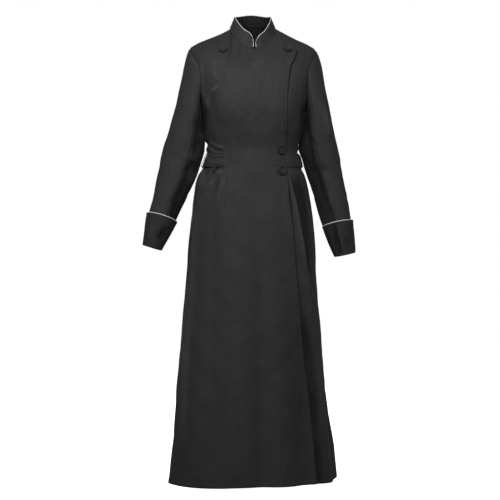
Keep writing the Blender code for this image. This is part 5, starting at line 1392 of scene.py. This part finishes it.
def cloth_material(name, look):
    """Fine twill: threads in relief, slubs along the warp, blotches of shade, paler worn edges, painted shade
    in fold hollows and inside, painted highlight on crests.
    """
    tree, surface = new_material(name)
    place, uv = own_place(tree), own_weave(tree)
    weave = added(tree, WARP_SHARE, wave(tree, uv, WEAVE_PITCH, "X"), wave(tree, uv, TWILL_PITCH, "DIAGONAL"))
    threads = added(tree, SLUB_SHARE, noise(tree, uv, SLUB), noise(tree, uv, PICK))
    dark, light = tinted(look.colour, look.dark), tinted(look.colour, look.light)
    blotches = mix(tree, noise(tree, place, MOTTLE), dark, light)
    colour = mix(tree, look.mottle, mix(tree, threads, dark, light), blotches)
    colour = mix(tree, look.weave, colour, mix(tree, weave, tinted(look.colour, WEAVE_DARK), light))
    worn = stored_share(tree, "wear", look.wear)
    # the worn edges are paler; painted shade darkens the hollows of folds, and painted highlight lightens
    # their crests
    for share, tint in (
        (worn, tinted(look.colour, WORN_LIGHT)), (stored_share(tree, "hollow", HOLLOW_SHADE), PAINTED_SHADE_COLOUR),
        (stored_share(tree, "crest", CREST_HIGHLIGHT_SHARE), tinted(look.colour, CREST_HIGHLIGHT_TINT)),
        # painted shade on the inside faces
        (stored_share(tree, "inside", INSIDE_PAINTED_SHADE), PAINTED_SHADE_COLOUR),
    ):
        colour = mix(tree, share, colour, tint)
    rough = ranged(tree, threads, THREAD_GLOSS, look.roughness - THREAD_GLOSS / 2)
    rough = calculate(tree, "SUBTRACT", rough, calculate(tree, "MULTIPLY", worn, WORN_GLOSS))
    normal = bump(tree, threads, Relief(SLUB_DEPTH, look.grain), bump(tree, weave, WEAVE_RELIEF))
    for pattern, relief in RUMPLES:
        normal = bump(tree, noise(tree, place, pattern), relief, normal)
    feed(surface, {
        "Base Color": colour, "Roughness": rough, "Normal": normal, "Specular IOR Level": CLOTH_SPECULAR,
        "Sheen Weight": look.sheen, "Sheen Roughness": SHEEN_ROUGHNESS, "Sheen Tint": SHEEN_TINT,
    })


def finish_hard(tree, surface, look, colour, rough_by, relief_by):
    """Gives a surface its colour, and the gloss and the relief of a look."""
    feed(surface, {
        "Base Color": colour, "Roughness": ranged(tree, rough_by, look.rough_spread, look.rough),
        "Normal": bump(tree, relief_by, look.relief),
    })


def patterned(tree, look, pattern):
    """A look's own colour between its darkest and its lightest."""
    return mix(tree, pattern, tinted(look.colour, look.dark), tinted(look.colour, look.light))


def piping_material():
    """Satin-bound cord: fine ribs across it and a faint yellowing."""
    tree, surface = new_material("piping")
    ribs = wave(tree, own_weave(tree), RIB_PITCH, "DIAGONAL")
    soil = noise(tree, own_place(tree), SOIL)
    share = calculate(tree, "MULTIPLY", ribs, RIB_SHARE)
    ribbed = mix(tree, share, patterned(tree, PIPING, soil), RIB_COLOUR)
    finish_hard(tree, surface, PIPING, ribbed, soil, ribs)
    feed(surface, {"Sheen Weight": PIPING_SHEEN})


def thread_material():
    tree, surface = new_material("thread")
    twist = noise(tree, own_place(tree), TWIST)
    finish_hard(tree, surface, THREAD, patterned(tree, THREAD, twist), twist, twist)


def button_material():
    """Dark pressed button: faint marbling, fine scratches, and painted shade on its rim, its dish line and
    round its holes.
    """
    tree, surface = new_material("button")
    place = own_place(tree)
    marble, scratches = noise(tree, place, MARBLE), noise(tree, place, SCRATCH)
    # painted shade stored on the button's rim, dish line and middle
    shaded = stored_share(tree, "rim", RIM_SHADE_SHARE)
    colour = mix(tree, shaded, patterned(tree, BUTTON, marble), tinted(BUTTON.colour, RIM_SHADE_TINT))
    finish_hard(tree, surface, BUTTON, colour, scratches, marble)
    feed(surface, {"Specular IOR Level": BUTTON_SPECULAR})


# Studio

def add_camera():
    turn = radians(CAMERA_TURN)
    data = bpy.data.cameras.new("camera")
    data.sensor_width = SENSOR
    data.lens = SENSOR * CAMERA_DISTANCE / FRAME_WIDTH
    camera = link("camera", data)
    camera.location = (
        sin(turn) * CAMERA_DISTANCE + cos(turn) * CAMERA_ASIDE,
        -cos(turn) * CAMERA_DISTANCE + sin(turn) * CAMERA_ASIDE,
        CAMERA_HEIGHT,
    )
    camera.rotation_euler = (pi / 2, 0.0, turn)
    bpy.context.scene.camera = camera


def look_at(place, target):
    way = unit(np.array(target, float) - np.array(place, float))
    return float(np.arccos(-way[2])), 0.0, float(np.arctan2(way[1], way[0]) - pi / 2)


def add_lamp(lamp):
    data = bpy.data.lights.new(lamp.name, "AREA")
    data.shape = "RECTANGLE"
    data.size, data.size_y = lamp.width, lamp.height
    data.energy = lamp.watts
    light = link(lamp.name, data)
    light.location = lamp.place
    light.rotation_euler = look_at(lamp.place, lamp.target)
    light.visible_camera = False


def add_world():
    """Soft light all round, behind which the camera sees plain white."""
    world = bpy.data.worlds.new("studio")
    bpy.context.scene.world = world
    world.use_nodes = True
    tree = world.node_tree
    tree.nodes.clear()
    soft, shown = (
        gives(tree, "Background", {"Color": WHITE, "Strength": strength}, "Background")
        for strength in (WORLD_LIGHT, BACKDROP)
    )
    to_camera = gives(tree, "LightPath", {}, "Is Camera Ray")
    mixed = gives(tree, "MixShader", {"Fac": to_camera, 1: soft, 2: shown}, "Shader")
    feed(tree.nodes.new("ShaderNodeOutputWorld"), {"Surface": mixed})
    bpy.context.scene.view_settings.view_transform = "Standard"


def add_floor():
    _, surface = new_material("floor")
    feed(surface, {
        "Base Color": FLOOR_COLOUR, "Roughness": FLOOR_ROUGHNESS,
        "Emission Color": WHITE, "Emission Strength": FLOOR_GLOW,
    })
    corners = [(x * FLOOR_HALF, y * FLOOR_HALF, FLOOR_Z) for x, y in ((-1, -1), (1, -1), (1, 1), (-1, 1))]
    floor = add_mesh("floor", corners, [[0, 1, 2, 3]], "floor")
    floor.visible_diffuse = False
    floor.visible_glossy = False


# The whole dress

def dress():
    """Every piece, with the rows of stitches on it."""
    one_stitch, group = add_one_stitch(), stitch_group()

    def finish(piece, node, slot, cut=None, pieces=()):
        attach(piece, "root")
        if node:
            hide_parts(node)
        if cut:
            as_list(pieces)

    def finish_stitched(made, rows, node, slot, cut, closed=False):
        piece, outer, normals = made
        lines = [line_on(outer, normals, edge, distance) for edge, distance in rows]
        stitches = add_stitches(piece.name.replace("cloth", "stitches"), lines, closed, group, one_stitch)
        finish(stitches, None, slot)
        finish(piece, node, slot, SHEETS[cut], [stitches])

    hem = ("bottom", HEM_LINE)
    made = add_front("front_right", -1, LAP_COLUMNS, lap_shape)
    finish_stitched(made, (("last", STITCH_LINE), hem), "front_right", "coat_cloth", "front")
    left, outer, normals = add_front("front_left", 1, UNDERLAP_COLUMNS, underlap_shape)
    made = left, outer[:, :SIDE_COLUMNS], normals[:, :SIDE_COLUMNS]
    finish_stitched(made, (hem,), "front_left", "coat_cloth", "front")
    finish_stitched(add_back(), (hem,), "back", "coat_cloth", "back")

    for side_name, side in SIDES:
        for part, piece in add_sleeve(side_name, side).items():
            finish(piece, f"sleeve_{part}_{side_name}", "coat_cloth", SHEETS[f"sleeve_{part}"])
        cord, made = add_cuff(side_name, side)
        rows = (("bottom", STITCH_LINE), ("top", STITCH_LINE))
        finish_stitched(made, rows, f"cuff_{side_name}", "cuff_cloth", "cuff", closed=True)
        finish(cord, f"cuff_piping_{side_name}", "piping")
        finish(add_band_loop(side_name, side), f"band_loop_{side_name}", "coat_cloth", SHEETS["loop"])

    cord, made = add_collar()
    finish_stitched(made, (("top", COLLAR_LINE),), "collar", "coat_cloth", "collar")
    finish(cord, "collar_piping", "piping")
    rows = (("bottom", BAND_LINE), ("top", BAND_LINE))
    finish_stitched(add_band(), rows, "waist_band", "coat_cloth", "band")

    for place in BUTTONS:
        body, threads = add_button(place)
        finish(body, place.name, "button")
        for thread in threads:
            finish(thread, None, "button")
    bpy.data.objects.remove(one_stitch, do_unlink=True)


add_camera()
for lamp in LAMPS:
    add_lamp(lamp)
add_world()
add_floor()
for cloth, cloth_look in CLOTHS.items():
    cloth_material(cloth, cloth_look)
piping_material()
thread_material()
button_material()
dress()
